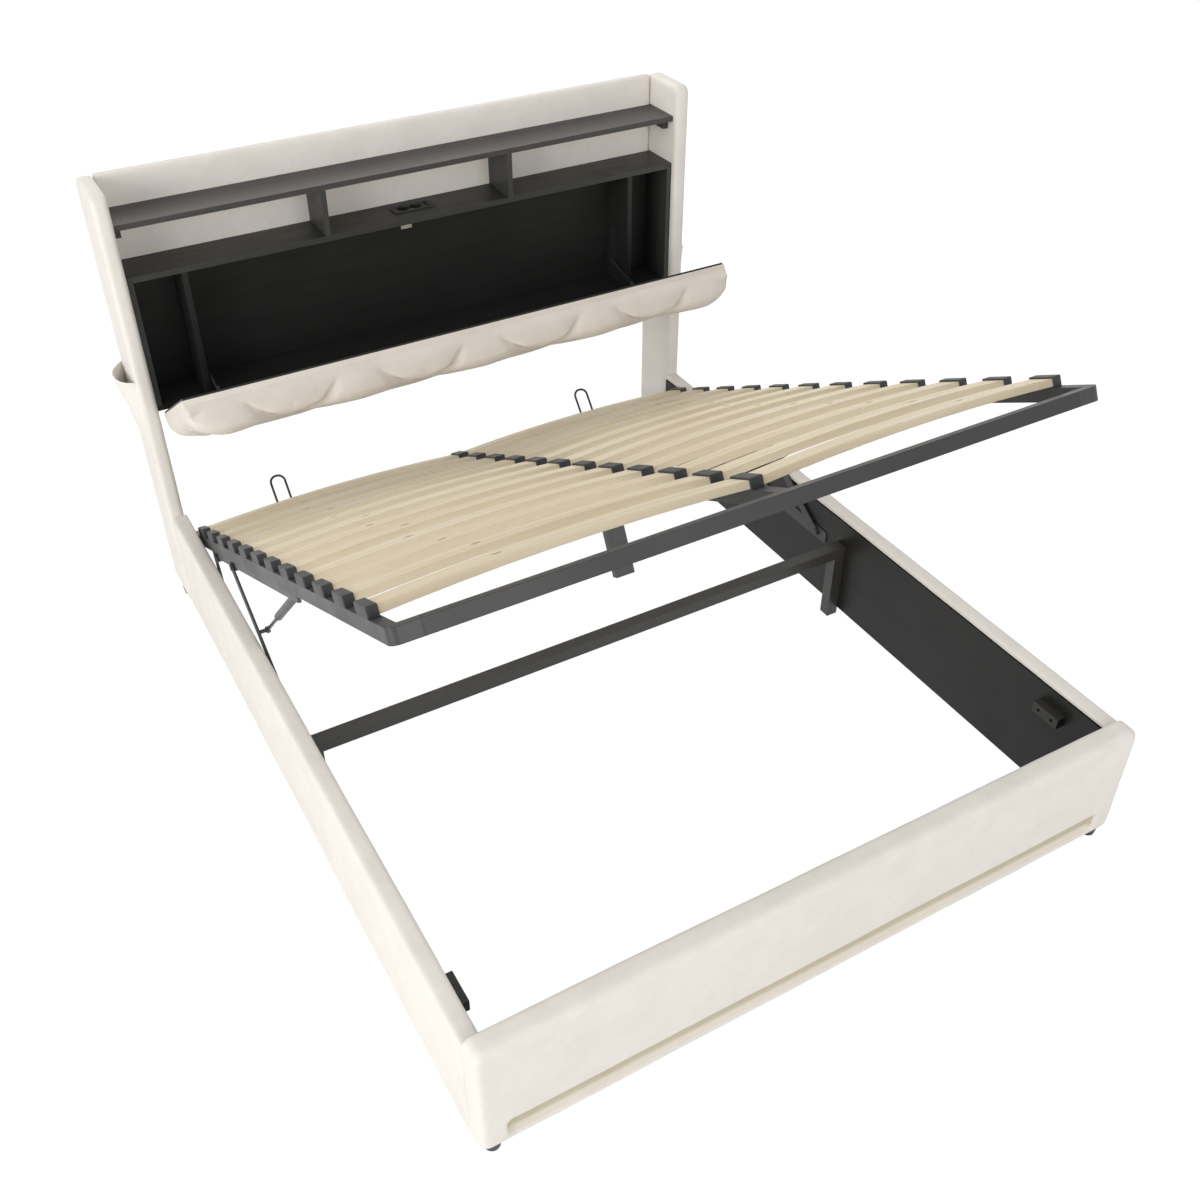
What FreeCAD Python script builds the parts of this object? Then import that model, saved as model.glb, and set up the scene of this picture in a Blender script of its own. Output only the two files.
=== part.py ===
import FreeCAD, Part
import math
import os

# Upholstered storage bed, millimetres, +Z up, +X to the right seen from the foot.
# Lengths along the bed are counted from the front of the footboard while modelling,
# and the finished pieces are moved so that the origin is at the middle of the base.

# Overall sizes
bed_width = 1710.0
bed_length = 2172.0
headboard_height = 1270.0

# Foot glides
glide_height = 22.0
glide_diameter = 41.0
glide_inset = 36.0
glide_taper = 3.0

# Footboard: a board with a padded cover round it and a long slot low on its front
footboard_height = 330.0
footboard_thickness = 56.0
footboard_board_thickness = 16.0
footboard_padding = 14.0
footboard_corner_radius = 26.0
footboard_edge_radius = 12.0
footboard_back_radius = 5.0
slot_end_margin = 60.0
slot_height = 41.0
slot_rise = 27.0
slot_depth = 18.0
slot_corner_radius = 14.0

# Side rails: a board with a padded cover outside and over the top
rail_height = 310.0
rail_thickness = 45.0
rail_board_thickness = 22.0
rail_top_padding = 16.0
rail_edge_radius = 9.0
rail_inner_radius = 3.0

# Bolts that join the rails to the footboard and to the wings
bolt_diameter = 6.0
bolt_reach = 60.0
bolt_head_diameter = 12.0
bolt_head_height = 4.0
bolt_inset = 14.0
bolt_low_level = 100.0
bolt_high_level = 240.0
bolt_clearance = 0.2

# Headboard wings, back panel and side pockets
wing_overhang = 3.0
wing_thickness = 42.0
wing_depth = 176.0
wing_corner_radius = 22.0
wing_edge_radius = 9.0
back_panel_thickness = 30.0
back_panel_drop = 15.0
back_panel_radius = 9.0
pocket_height = 200.0
pocket_width = 150.0
pocket_top_level = 762.0
pocket_gape = 45.0
pocket_foot = 8.0
pocket_wall = 3.0

# Headboard cabinet
board_thickness = 15.0
cabinet_depth = 127.0
cabinet_height = 383.5
shelf_bay_height = 125.0
upper_shelf_drop = 86.5
cabinet_back_thickness = 5.0
side_bay_width = 123.4
upright_spacing = 534.0
shelf_bracket_width = 18.0
shelf_bracket_length = 38.0
shelf_bracket_height = 28.0
shelf_bracket_setback = 26.0
shelf_bracket_groove = 2.5
shelf_bracket_rib_count = 4

# Power socket strip let into the cabinet top
socket_bezel = 3.0
socket_lip = 5.0
socket_side_wall = 3.0
socket_outlet_end = 11.5
socket_usb_end = 7.5
socket_depth = 34.0
socket_floor = 4.0
socket_setback = 72.0
socket_corner_radius = 6.0
outlet_diameter = 34.0
outlet_gap = 3.0
outlet_recess = 9.0
outlet_hole_diameter = 5.0
outlet_hole_pitch = 19.0
outlet_hole_depth = 14.0
usb_width = 18.0
usb_gap = 7.0
usb_port_width = 6.0
usb_port_length = 13.0
usb_port_depth = 11.0
socket_clearance = 0.3

# Magnetic catch under the cabinet top
catch_length = 32.0
catch_depth = 14.0
catch_height = 11.0
catch_shift = -50.0
catch_setback = 3.0

# Padded flap that closes the cabinet
flap_open_angle = 58.0
flap_gap = 2.0
flap_side_gap = 12.0
flap_top_gap = 1.0
flap_board_thickness = 15.0
cushion_thickness = 78.0
cushion_margin = 2.0
cushion_round = 27.0
cushion_scale_count = 4.5
cushion_scale_share = 0.97
cushion_channel_radius = 13.0
cover_wrap = 3.0
cover_reach = 10.0
cover_clearance = 0.2

# Hinges under the flap
hinge_length = 40.0
hinge_leaf_thickness = 1.5
hinge_leaf_width = 24.0
hinge_barrel_radius = 4.0
hinge_pin_radius = 1.6
hinge_clearance = 0.4
hinge_shares = (-0.62, 0.0, 0.62)

# Stays that hold the flap open
stay_reach = 60.0
stay_inset = 22.0
stay_open_rise = 30.4
stay_width = 14.0
stay_thickness = 3.0
stay_eye_radius = 8.0
stay_pin_radius = 3.0
stay_track_setback = 80.0
stay_track_width = 18.0
stay_track_thickness = 4.0
stay_track_slot = 8.0
stay_track_end = 14.0
stay_clearance = 0.5
stay_lug_length = 44.0
stay_lug_thickness = 3.0

# Rest blocks, cross bar and its legs
rest_level = 274.0
block_lead = 43.7
block_length = 80.0
block_height = 30.0
block_depth = 27.0
block_screw_spacing = 42.0
block_screw_radius = 4.5
block_screw_depth = 10.0
cross_bar_lead = 97.0
cross_bar_size = 34.0
cross_bar_level = 244.0
cross_bar_wall = 2.0
cross_leg_foot = 4.0

# Lift frame: tubes, moulded corners, centre leg and mattress stops
lift_side_gap = 9.0
lift_setback = 213.7
lift_head_gap = 43.3
lift_open_angle = 27.0
tube_width = 25.0
tube_depth = 32.0
tube_wall = 2.0
centre_tube_width = 30.0
corner_arm = 60.0
corner_radius = 20.0
corner_spigot = 30.0
corner_clearance = 0.3
centre_leg_width = 50.0
centre_leg_thickness = 22.0
centre_leg_length = 225.0
centre_leg_wall = 2.0
centre_leg_from_foot = 782.0
stop_spacing = 1040.0
stop_width = 50.0
stop_height = 96.0
stop_wire_diameter = 7.0
stop_bend_radius = 20.0
stop_lean_angle = 14.0

# Slats and their holders
slat_count = 12
slat_from_foot = 141.0
slat_from_head = 161.5
slat_width = 66.0
slat_thickness = 17.0
slat_seat = 10.0
slat_crown = 14.0
slat_clearance = 0.3
holder_length = 72.0
holder_width = 23.0
holder_lip = 5.2
holder_end_wall = 4.0
holder_round = 2.4
centre_holder_width = 32.0
centre_holder_wall = 4.0

# Lift mechanism: base plate, main link, rear link, bar under the side tube
plate_thickness = 3.0
plate_height = 40.0
plate_end = 45.0
link_width = 26.0
link_thickness = 5.0
link_gap = 2.0
link_side_clearance = 0.4
link_tube_clearance = 1.0
main_pivot_from_head = 1023.0
main_pivot_level = 220.0
main_link_length = 435.5
link_open_angle = 32.38
rear_pivot_spacing = 230.0
rear_pivot_level = 220.0
pin_radius = 6.0
pin_clearance = 0.3
pin_head_radius = 9.0
pin_head_height = 2.0
lift_bar_depth = 17.0
lift_bar_thickness = 8.0
lift_bar_lead = 80.0
lift_bar_end = 60.0

# Gas struts
strut_lead = 620.0
strut_link_place = 245.0
strut_drop = 12.0
strut_radius = 10.0
strut_rod_radius = 4.6
strut_rod_clearance = 0.4
strut_cylinder_length = 330.0
strut_gap = 2.0
strut_eye_radius = 9.0
strut_eye_width = 10.0
strut_pin_radius = 5.0
strut_end_wall = 14.0
strut_rod_inside = 70.0
strut_open_gap = 1.0

# One overrun serves every cut
overrun = 5.0

Vector = FreeCAD.Vector
across = Vector(1, 0, 0)
along = Vector(0, 1, 0)
upward = Vector(0, 0, 1)
origin = Vector(0, 0, 0)

# Places worked out from the sizes above
rail_inner = bed_width / 2 - rail_thickness
slot_length = bed_width - 2 * slot_end_margin
headboard_width = bed_width + 2 * wing_overhang
wing_inner = headboard_width / 2 - wing_thickness
wing_front = bed_length - wing_depth
back_front = bed_length - back_panel_thickness
cabinet_front = back_front - cabinet_depth
upper_shelf_level = headboard_height - upper_shelf_drop
cabinet_top_level = upper_shelf_level - board_thickness - shelf_bay_height
cabinet_underside = cabinet_top_level - cabinet_height
cabinet_roof = cabinet_top_level - board_thickness
divider_inner = wing_inner - 2 * board_thickness - side_bay_width
usb_length = outlet_diameter
outlet_pitch = outlet_diameter + outlet_gap
socket_width = outlet_diameter + 2 * (socket_side_wall + socket_lip)
socket_run = outlet_pitch + outlet_diameter + usb_gap + usb_width
socket_length = 2 * socket_lip + socket_outlet_end + socket_run + socket_usb_end
outlet_shift = socket_lip + socket_outlet_end + outlet_diameter / 2 + outlet_pitch / 2 - socket_length / 2
usb_shift = socket_length / 2 - socket_lip - socket_usb_end - usb_width / 2
footboard_top = glide_height + footboard_height
rail_top = glide_height + rail_height
board_front = footboard_thickness - footboard_board_thickness
board_half = bed_width / 2 - footboard_padding
lift_half = rail_inner - lift_side_gap
lift_length = bed_length - lift_setback - lift_head_gap
main_pivot_setback = bed_length - main_pivot_from_head
cross_bar_setback = main_pivot_setback - cross_bar_lead - cross_bar_size
block_setback = lift_setback - block_lead
link_inner = lift_half + link_side_clearance
link_outer = link_inner + link_thickness
plate_inner = rail_inner - plate_thickness
bar_outer = link_inner - link_gap
bar_inner = bar_outer - lift_bar_thickness
pivot_drop = link_width / 2 + link_tube_clearance
strut_line = bar_inner - strut_gap - strut_radius


def turned(point, degrees):
    """A (y, z) pair turned about the X axis."""
    angle = math.radians(degrees)
    y, z = point
    return (y * math.cos(angle) - z * math.sin(angle), y * math.sin(angle) + z * math.cos(angle))


def added(first, second):
    return (first[0] + second[0], first[1] + second[1])


def distance(first, second):
    return math.hypot(second[0] - first[0], second[1] - first[1])


def heading(first, second):
    return math.degrees(math.atan2(second[1] - first[1], second[0] - first[0]))


# Pivots of the lift mechanism, as (y, z) pairs, with the frame raised and lowered
main_pivot = (main_pivot_setback, main_pivot_level)
front_eye_level = rest_level - pivot_drop
front_eye_run = math.sqrt(main_link_length ** 2 - (front_eye_level - main_pivot_level) ** 2)
front_eye_low = (main_pivot_setback + front_eye_run, front_eye_level)
front_eye = added(main_pivot, turned((main_link_length, 0), link_open_angle))
front_eye_place = front_eye_low[0] - lift_setback
eye_depth = -tube_depth - pivot_drop
rear_eye_place = front_eye_place + rear_pivot_spacing
strut_frame_place = front_eye_place - strut_lead
lift_bar_front = strut_frame_place - lift_bar_lead


def raised(place, height):
    """The (y, z) pair of a point of the raised frame, from its place along and height above the tubes."""
    return added(front_eye, turned((place - front_eye_place, height - eye_depth), -lift_open_angle))


def lowered(place, height):
    return (lift_setback + place, rest_level + tube_depth + height)


rear_eye = raised(rear_eye_place, eye_depth)
rear_eye_low = lowered(rear_eye_place, eye_depth)


def rear_pivot_y():
    """Where the rear link's fixed pivot is equally far from both places of its eye."""
    squares = rear_eye_low[0] ** 2 - rear_eye[0] ** 2
    levels = (rear_eye_low[1] - rear_pivot_level) ** 2 - (rear_eye[1] - rear_pivot_level) ** 2
    return (squares + levels) / (2 * (rear_eye_low[0] - rear_eye[0]))


rear_pivot = (rear_pivot_y(), rear_pivot_level)
rear_link_length = distance(rear_pivot, rear_eye)
strut_depth = -tube_depth - strut_drop
strut_top = raised(strut_frame_place, strut_depth)
strut_foot = added(main_pivot, turned((strut_link_place, 0), link_open_angle))
strut_length = distance(strut_top, strut_foot)

# Pivots of the flap and its stays
flap_axis = (cabinet_front - flap_gap / 2, cabinet_underside - hinge_barrel_radius - hinge_clearance)
flap_face = cabinet_front - flap_gap
flap_half = wing_inner - flap_side_gap
flap_top = cabinet_roof - flap_top_gap
stay_eye = added(flap_axis, turned((stay_inset, stay_reach), flap_open_angle))
stay_track_y = cabinet_front + stay_track_setback
stay_foot = (stay_track_y, stay_eye[1] + stay_open_rise)
stay_length = distance(stay_eye, stay_foot)
stay_eye_shut = added(flap_axis, (stay_inset, stay_reach))
stay_rise_shut = math.sqrt(stay_length ** 2 - (stay_track_y - stay_eye_shut[0]) ** 2)
stay_foot_shut = (stay_track_y, stay_eye_shut[1] + stay_rise_shut)
stay_track_inner = divider_inner - stay_track_thickness
stay_arm_outer = stay_track_inner - stay_clearance
stay_arm_inner = stay_arm_outer - stay_thickness


# Helpers for solids
def block(x_pair, y_pair, z_pair):
    size = (x_pair[1] - x_pair[0], y_pair[1] - y_pair[0], z_pair[1] - z_pair[0])
    return Part.makeBox(size[0], size[1], size[2], Vector(x_pair[0], y_pair[0], z_pair[0]))


def middle(half):
    return (-half, half)


def grown(pair, amount):
    return (pair[0] - amount, pair[1] + amount)


def peg(x_pair, point, radius):
    """A round pin along X through a (y, z) point."""
    return Part.makeCylinder(radius, x_pair[1] - x_pair[0], Vector(x_pair[0], point[0], point[1]), across)


def strap(x_pair, first, second, width):
    """A flat link with round ends between two (y, z) points."""
    length = distance(first, second)
    bar = block(x_pair, (0, length), middle(width / 2))
    bar.rotate(origin, across, heading(first, second))
    bar.translate(Vector(0, first[0], first[1]))
    ends = [peg(x_pair, first, width / 2), peg(x_pair, second, width / 2)]
    return bar.multiFuse(ends).removeSplitter()


def mirrored(shape):
    return shape.mirror(origin, across)


def pair_of(shape):
    return Part.makeCompound([mirrored(shape), shape])


def straight_edges(shape, direction, wanted):
    """Edges of a shape that run along a direction and whose middle is wanted."""
    found = []
    for edge in shape.Edges:
        run = edge.Vertexes[-1].Point - edge.Vertexes[0].Point
        if run.Length > 0 and run.cross(direction).Length == 0 and wanted(edge.CenterOfMass):
            found.append(edge)
    return found


def face_edges(shape, direction, level):
    """Edges all round the flat face of a shape that lies nearest to a level along a direction."""
    flat = [face for face in shape.Faces if abs(face.normalAt(0, 0).dot(direction)) == 1]
    return min(flat, key=lambda face: abs(face.CenterOfMass.dot(direction) - level)).Edges


def padded_panel(x_pair, y_pair, z_pair, direction, corner_radius_of, edge_radii):
    """A panel with round corners, its edges round on its near and far face along a direction."""
    shape = block(x_pair, y_pair, z_pair)
    corners = straight_edges(shape, direction, lambda place: True)
    shape = shape.makeFillet(corner_radius_of, corners)
    pair = {0: x_pair, 1: y_pair, 2: z_pair}[(across, along, upward).index(direction)]
    for level, radius in zip(pair, edge_radii):
        if radius > 0:
            shape = shape.makeFillet(radius, face_edges(shape, direction, level))
    return shape


def rounded_plate(length, width, height, radius):
    """An upright prism with round corners, centred on the Z axis and standing on z = 0."""
    shape = block(middle(length / 2), middle(width / 2), (0, height))
    return shape.makeFillet(radius, straight_edges(shape, upward, lambda place: True))


def save(name, shape):
    moved = shape.copy()
    moved.translate(Vector(0, -bed_length / 2, 0))
    moved.exportStep("parts/" + name + ".step")


def save_sides(name, shape):
    save("right_" + name, shape)
    save("left_" + name, mirrored(shape))


# Base: glides, footboard, rails and bolts
def glide(x, y):
    top_radius = glide_diameter / 2
    return Part.makeCone(top_radius - glide_taper, top_radius, glide_height, Vector(x, y, 0), upward)


def glides():
    front_x = bed_width / 2 - glide_inset
    rear_x = wing_inner + wing_thickness / 2
    front = pair_of(glide(front_x, footboard_thickness / 2))
    rear = pair_of(glide(rear_x, wing_front + wing_depth / 2))
    return Part.makeCompound(front.Solids + rear.Solids)


def bolt_line():
    return rail_inner + bolt_inset


def bolt_levels():
    return (bolt_low_level, bolt_high_level)


def bolt(y_pair, level, radius):
    return Part.makeCylinder(radius, y_pair[1] - y_pair[0], Vector(bolt_line(), y_pair[0], level), along)


def bolt_set(allowance):
    """The right side's bolts, or their holes when an allowance is given."""
    radius = bolt_diameter / 2 + allowance
    head_radius = bolt_head_diameter / 2 + allowance
    head_end = board_front + bolt_head_height
    made = []
    for level in bolt_levels():
        head = bolt((board_front, head_end), level, head_radius)
        shank = bolt((board_front, footboard_thickness + bolt_reach), level, radius)
        made.append(head.fuse(shank).removeSplitter())
        made.append(bolt((wing_front - bolt_reach, wing_front + bolt_reach), level, radius))
    return made


def drilled(shape):
    return shape.cut(Part.makeCompound(bolt_set(bolt_clearance)))


def footboard_board():
    shape = block(
        middle(board_half),
        (board_front, footboard_thickness),
        (glide_height, footboard_top - footboard_padding),
    )
    return shape.cut(Part.makeCompound(pair_of(Part.makeCompound(bolt_set(bolt_clearance))).Solids))


def footboard_slot():
    shape = rounded_plate(slot_length, slot_height, slot_depth + overrun, slot_corner_radius)
    shape.rotate(origin, across, 90)
    level = glide_height + slot_rise + slot_height / 2
    shape.translate(Vector(0, slot_depth, level))
    return shape


def footboard_cover():
    shape = padded_panel(
        middle(bed_width / 2),
        (0, footboard_thickness),
        (glide_height, footboard_top),
        along,
        footboard_corner_radius,
        (footboard_edge_radius, footboard_back_radius),
    )
    room = block(
        middle(board_half),
        (board_front, footboard_thickness + overrun),
        (glide_height - overrun, footboard_top - footboard_padding),
    )
    return shape.cut(room).cut(footboard_slot())


def rail_run():
    return (footboard_thickness, wing_front)


def rail_board():
    shape = block(
        (rail_inner, rail_inner + rail_board_thickness),
        rail_run(),
        (glide_height, rail_top - rail_top_padding),
    )
    return drilled(shape)


def rail_cover():
    shape = block((rail_inner, bed_width / 2), rail_run(), (glide_height, rail_top))
    middle_x = rail_inner + rail_thickness / 2
    outer = straight_edges(shape, along, lambda place: place.x > middle_x)
    shape = shape.makeFillet(rail_edge_radius, outer)
    inner = straight_edges(shape, along, lambda place: place.x < middle_x and place.z > rail_top / 2)
    shape = shape.makeFillet(rail_inner_radius, inner)
    room = block(
        (rail_inner - overrun, rail_inner + rail_board_thickness),
        grown(rail_run(), overrun),
        (glide_height - overrun, rail_top - rail_top_padding),
    )
    return shape.cut(room)


# Headboard
def wing():
    shape = padded_panel(
        (wing_inner, headboard_width / 2),
        (wing_front, bed_length),
        (glide_height, headboard_height),
        across,
        wing_corner_radius,
        (wing_edge_radius, wing_edge_radius),
    )
    return drilled(shape)


def back_panel():
    shape = block(
        middle(wing_inner), (back_front, bed_length), (cabinet_underside - back_panel_drop, headboard_height)
    )
    level = headboard_height - back_panel_thickness
    return shape.makeFillet(back_panel_radius, straight_edges(shape, across, lambda place: place.z > level))


def wedge(inset, top_extra):
    """The pocket's outer form on the wing's outer face, or its hollow when inset by the cloth."""
    face = headboard_width / 2
    low = pocket_top_level - pocket_height + inset
    high = pocket_top_level + top_extra
    y_start = wing_front + (wing_depth - pocket_width) / 2 + inset
    corners = [
        Vector(face, y_start, low),
        Vector(face + pocket_foot - inset, y_start, low),
        Vector(face + pocket_gape - inset, y_start, high),
        Vector(face, y_start, high),
    ]
    outline = Part.makePolygon(corners + [corners[0]])
    return Part.Face(outline).extrude(along * (pocket_width - 2 * inset))


def side_pocket():
    return wedge(0, 0).cut(wedge(pocket_wall, overrun))


def shelf(level):
    return block(middle(wing_inner), (cabinet_front, back_front), (level - board_thickness, level))


def shelf_upright():
    inner = upright_spacing / 2
    return block(
        (inner, inner + board_thickness),
        (cabinet_front, back_front),
        (cabinet_top_level, upper_shelf_level - board_thickness),
    )


def shelf_bracket():
    top = upper_shelf_level - board_thickness
    start = cabinet_front + shelf_bracket_setback
    face = wing_inner - shelf_bracket_width
    shape = block(
        (face, wing_inner),
        (start, start + shelf_bracket_length),
        (top - shelf_bracket_height, top),
    )
    pitch = shelf_bracket_length / shelf_bracket_rib_count
    for index in range(1, shelf_bracket_rib_count):
        centre = start + index * pitch
        groove = block(
            (face - overrun, face + shelf_bracket_groove),
            (centre - shelf_bracket_groove / 2, centre + shelf_bracket_groove / 2),
            (top - shelf_bracket_height - overrun, top + overrun),
        )
        shape = shape.cut(groove)
    return shape


def socket_place():
    return Vector(0, cabinet_front + socket_setback, cabinet_top_level)


def socket_body(allowance):
    """The part of the socket strip that sinks into the cabinet top."""
    shape = rounded_plate(
        socket_length - 2 * socket_lip + 2 * allowance,
        socket_width - 2 * socket_lip + 2 * allowance,
        socket_depth + overrun,
        socket_corner_radius - socket_lip / 2,
    )
    shape.translate(socket_place() - upward * socket_depth)
    return shape


def cabinet_top():
    return shelf(cabinet_top_level).cut(socket_body(socket_clearance))


def outlet_centres():
    return [outlet_shift - outlet_pitch / 2, outlet_shift + outlet_pitch / 2]


def outlet_disc(x, radius, z_pair):
    base = socket_place() + Vector(x, 0, z_pair[0])
    return Part.makeCylinder(radius, z_pair[1] - z_pair[0], base, upward)


def usb_block(allowance, z_pair):
    shape = block(middle(usb_width / 2 + allowance), middle(usb_length / 2 + allowance), z_pair)
    shape.translate(socket_place() + Vector(usb_shift, 0, 0))
    return shape


def socket_housing():
    bezel = rounded_plate(socket_length, socket_width, socket_bezel, socket_corner_radius)
    bezel.translate(socket_place())
    sunk = block(
        middle(socket_length / 2),
        middle(socket_width / 2),
        (socket_bezel, socket_bezel + overrun + socket_depth),
    )
    sunk.translate(socket_place())
    shape = bezel.fuse(socket_body(0).cut(sunk)).removeSplitter()
    floor = socket_floor - socket_depth
    top = socket_bezel + overrun
    for x in outlet_centres():
        shape = shape.cut(outlet_disc(x, outlet_diameter / 2 + socket_clearance, (floor, top)))
    return shape.cut(usb_block(socket_clearance, (floor, top)))


def socket_inserts():
    floor = socket_floor - socket_depth
    top = socket_bezel - outlet_recess
    made = []
    for x in outlet_centres():
        disc = outlet_disc(x, outlet_diameter / 2, (floor, top))
        for side in (-1, 1):
            centre = socket_place() + Vector(x, side * outlet_hole_pitch / 2, top - outlet_hole_depth)
            depth = outlet_hole_depth + overrun
            disc = disc.cut(Part.makeCylinder(outlet_hole_diameter / 2, depth, centre, upward))
        made.append(disc)
    usb = usb_block(0, (floor, socket_bezel))
    for side in (-1, 1):
        port = block(
            middle(usb_port_width / 2),
            middle(usb_port_length / 2),
            (socket_bezel - usb_port_depth, socket_bezel + overrun),
        )
        port.translate(socket_place() + Vector(usb_shift, side * usb_length / 4, 0))
        usb = usb.cut(port)
    made.append(usb)
    return Part.makeCompound(made)


def cabinet_side():
    return block(
        (wing_inner - board_thickness, wing_inner),
        (cabinet_front, back_front - cabinet_back_thickness),
        (cabinet_underside + board_thickness, cabinet_roof),
    )


def cabinet_back():
    return block(
        middle(wing_inner),
        (back_front - cabinet_back_thickness, back_front),
        (cabinet_underside + board_thickness, cabinet_roof),
    )


def cabinet_divider():
    return block(
        (divider_inner, divider_inner + board_thickness),
        (cabinet_front, back_front - cabinet_back_thickness),
        (cabinet_underside + board_thickness, cabinet_roof),
    )


def flap_catch():
    start = cabinet_front + catch_setback
    return block(
        grown((catch_shift, catch_shift), catch_length / 2),
        (start, start + catch_depth),
        (cabinet_roof - catch_height, cabinet_roof),
    )


# Flap, hinges and stays, modelled shut and then turned open
def opened(shape):
    turned_shape = shape.copy()
    turned_shape.rotate(Vector(0, flap_axis[0], flap_axis[1]), across, flap_open_angle)
    return turned_shape


def flap_board_room(allowance):
    """The room of the flap's board inside the cover that is drawn round its free edges."""
    inset = cover_wrap + cover_clearance - allowance
    levels = (cabinet_underside - allowance, flap_top - inset)
    return block(middle(flap_half - inset), (flap_face - flap_board_thickness, flap_face), levels)


def flap_board():
    return flap_board_room(0)


def cushion_scale_rows():
    """Centres of the round scales sewn into the cushion, as (x, z) pairs, row by row below the free edge."""
    pitch = 2 * flap_half / cushion_scale_count
    radius = pitch / 2
    first_level = flap_top + math.sqrt(radius ** 2 - (pitch / 4) ** 2)
    row_count = math.ceil((first_level - cabinet_underside) / radius)
    column_count = math.ceil(cushion_scale_count)
    centres = []
    for row in range(row_count):
        shift = (row % 2 + 1) * pitch / 2
        for column in range(-column_count, column_count + 1):
            x = column * pitch + shift
            if abs(x) < flap_half + radius:
                centres.append((x, first_level - row * radius))
    return centres


def cushion_channel(x, level):
    """A sewn channel: the lower half of a ring sunk in the cushion's face."""
    radius = cushion_scale_share * flap_half / cushion_scale_count
    face = flap_face - flap_board_thickness - cushion_thickness
    centre = Vector(x, face, level)
    ring = Part.makeTorus(radius, cushion_channel_radius, centre, along)
    below = block(
        grown((x, x), radius + 2 * cushion_channel_radius),
        grown((face, face), 2 * cushion_channel_radius),
        (level - radius - 2 * cushion_channel_radius, level),
    )
    return ring.common(below)


def flap_cushion():
    """Foam and sewn cover in one piece, boxed, with the cover drawn back round the board's free edges."""
    levels = (cabinet_underside + cushion_margin, flap_top)
    back = flap_face - flap_board_thickness
    face = back - cushion_thickness
    shape = block(middle(flap_half), (face, back + cover_reach), levels)
    shape = shape.makeFillet(cushion_round, face_edges(shape, along, face))
    for x, level in cushion_scale_rows():
        shape = shape.cut(cushion_channel(x, level))
    return shape.cut(flap_board_room(cover_clearance))


def hinge_centres():
    return [share * flap_half for share in hinge_shares]


def knuckle(x_pair):
    return peg(x_pair, flap_axis, hinge_barrel_radius)


def leaf(x_pair, y_pair):
    return block(x_pair, y_pair, (cabinet_underside - hinge_leaf_thickness, cabinet_underside))


def knuckle_half():
    return hinge_length / 6


def hinge_fixed():
    made = []
    for centre in hinge_centres():
        ends = (centre - hinge_length / 2, centre + hinge_length / 2)
        inner = (centre - knuckle_half() - hinge_clearance, centre + knuckle_half() + hinge_clearance)
        edge = flap_axis[0] + hinge_barrel_radius + hinge_clearance
        shape = leaf(ends, (edge, cabinet_front + hinge_leaf_width))
        for x_pair in ((ends[0], inner[0]), (inner[1], ends[1])):
            shape = shape.fuse(knuckle(x_pair)).fuse(leaf(x_pair, (flap_axis[0], edge)))
        hole = peg(grown(ends, overrun), flap_axis, hinge_pin_radius + hinge_clearance)
        made.append(shape.cut(hole).removeSplitter())
    return Part.makeCompound(made)


def hinge_moving():
    made = []
    for centre in hinge_centres():
        ends = (centre - hinge_length / 2, centre + hinge_length / 2)
        inner = (centre - knuckle_half(), centre + knuckle_half())
        edge = flap_axis[0] - hinge_barrel_radius - hinge_clearance
        shape = leaf(ends, (flap_face - flap_board_thickness, edge))
        shape = shape.fuse(leaf(inner, (edge, flap_axis[0]))).fuse(knuckle(inner))
        made.append(shape.fuse(peg(ends, flap_axis, hinge_pin_radius)).removeSplitter())
    return Part.makeCompound(made)


def stay_lug():
    """The bracket on the flap that carries a stay's pivot, shut."""
    eye = stay_eye_shut
    x_pair = (stay_arm_inner - stay_clearance - stay_lug_thickness, stay_arm_inner - stay_clearance)
    ear = peg(x_pair, eye, stay_eye_radius)
    web = block(x_pair, (flap_face, eye[0]), grown((eye[1], eye[1]), stay_eye_radius))
    foot = block(
        (x_pair[0] - stay_width, x_pair[1]),
        (flap_face, flap_face + stay_lug_thickness),
        grown((eye[1], eye[1]), stay_lug_length / 2),
    )
    pin = peg((x_pair[0], stay_arm_outer), eye, stay_pin_radius)
    return ear.multiFuse([web, foot, pin]).removeSplitter()


def stay_arm():
    x_pair = (stay_arm_inner, stay_arm_outer)
    shape = strap(x_pair, stay_eye, stay_foot, stay_width)
    hole = peg(grown(x_pair, overrun), stay_eye, stay_pin_radius + hinge_clearance)
    return shape.cut(hole)


def stay_track():
    inner = stay_track_inner
    low = (stay_track_y, stay_foot[1])
    high = (stay_track_y, stay_foot_shut[1])
    x_pair = (inner, inner + stay_track_thickness)
    span = (low[1] - stay_track_end, high[1] + stay_track_end)
    shape = block(x_pair, grown((stay_track_y, stay_track_y), stay_track_width / 2), span)
    return shape.cut(strap(grown(x_pair, overrun), low, high, stay_track_slot))


# Rest blocks and cross bar
def rest_block():
    face = rail_inner - block_depth
    shape = block(
        (face, rail_inner),
        (block_setback, block_setback + block_length),
        (rest_level - block_height, rest_level),
    )
    for side in (-1, 1):
        place = (
            block_setback + block_length / 2 + side * block_screw_spacing / 2,
            rest_level - block_height / 2,
        )
        shape = shape.cut(peg((face - overrun, face + block_screw_depth), place, block_screw_radius))
    return shape


def hollow(x_pair, y_pair, z_pair, direction, wall):
    """A square tube: a block with the bore of its wall right through along a direction."""
    pairs = []
    for axis, pair in zip((across, along, upward), (x_pair, y_pair, z_pair)):
        pairs.append(grown(pair, overrun if axis == direction else -wall))
    return block(x_pair, y_pair, z_pair).cut(block(pairs[0], pairs[1], pairs[2]))


def cross_bar_run():
    return (cross_bar_setback, cross_bar_setback + cross_bar_size)


def cross_bar():
    levels = (cross_bar_level - cross_bar_size, cross_bar_level)
    return hollow(middle(rail_inner), cross_bar_run(), levels, across, cross_bar_wall)


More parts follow.
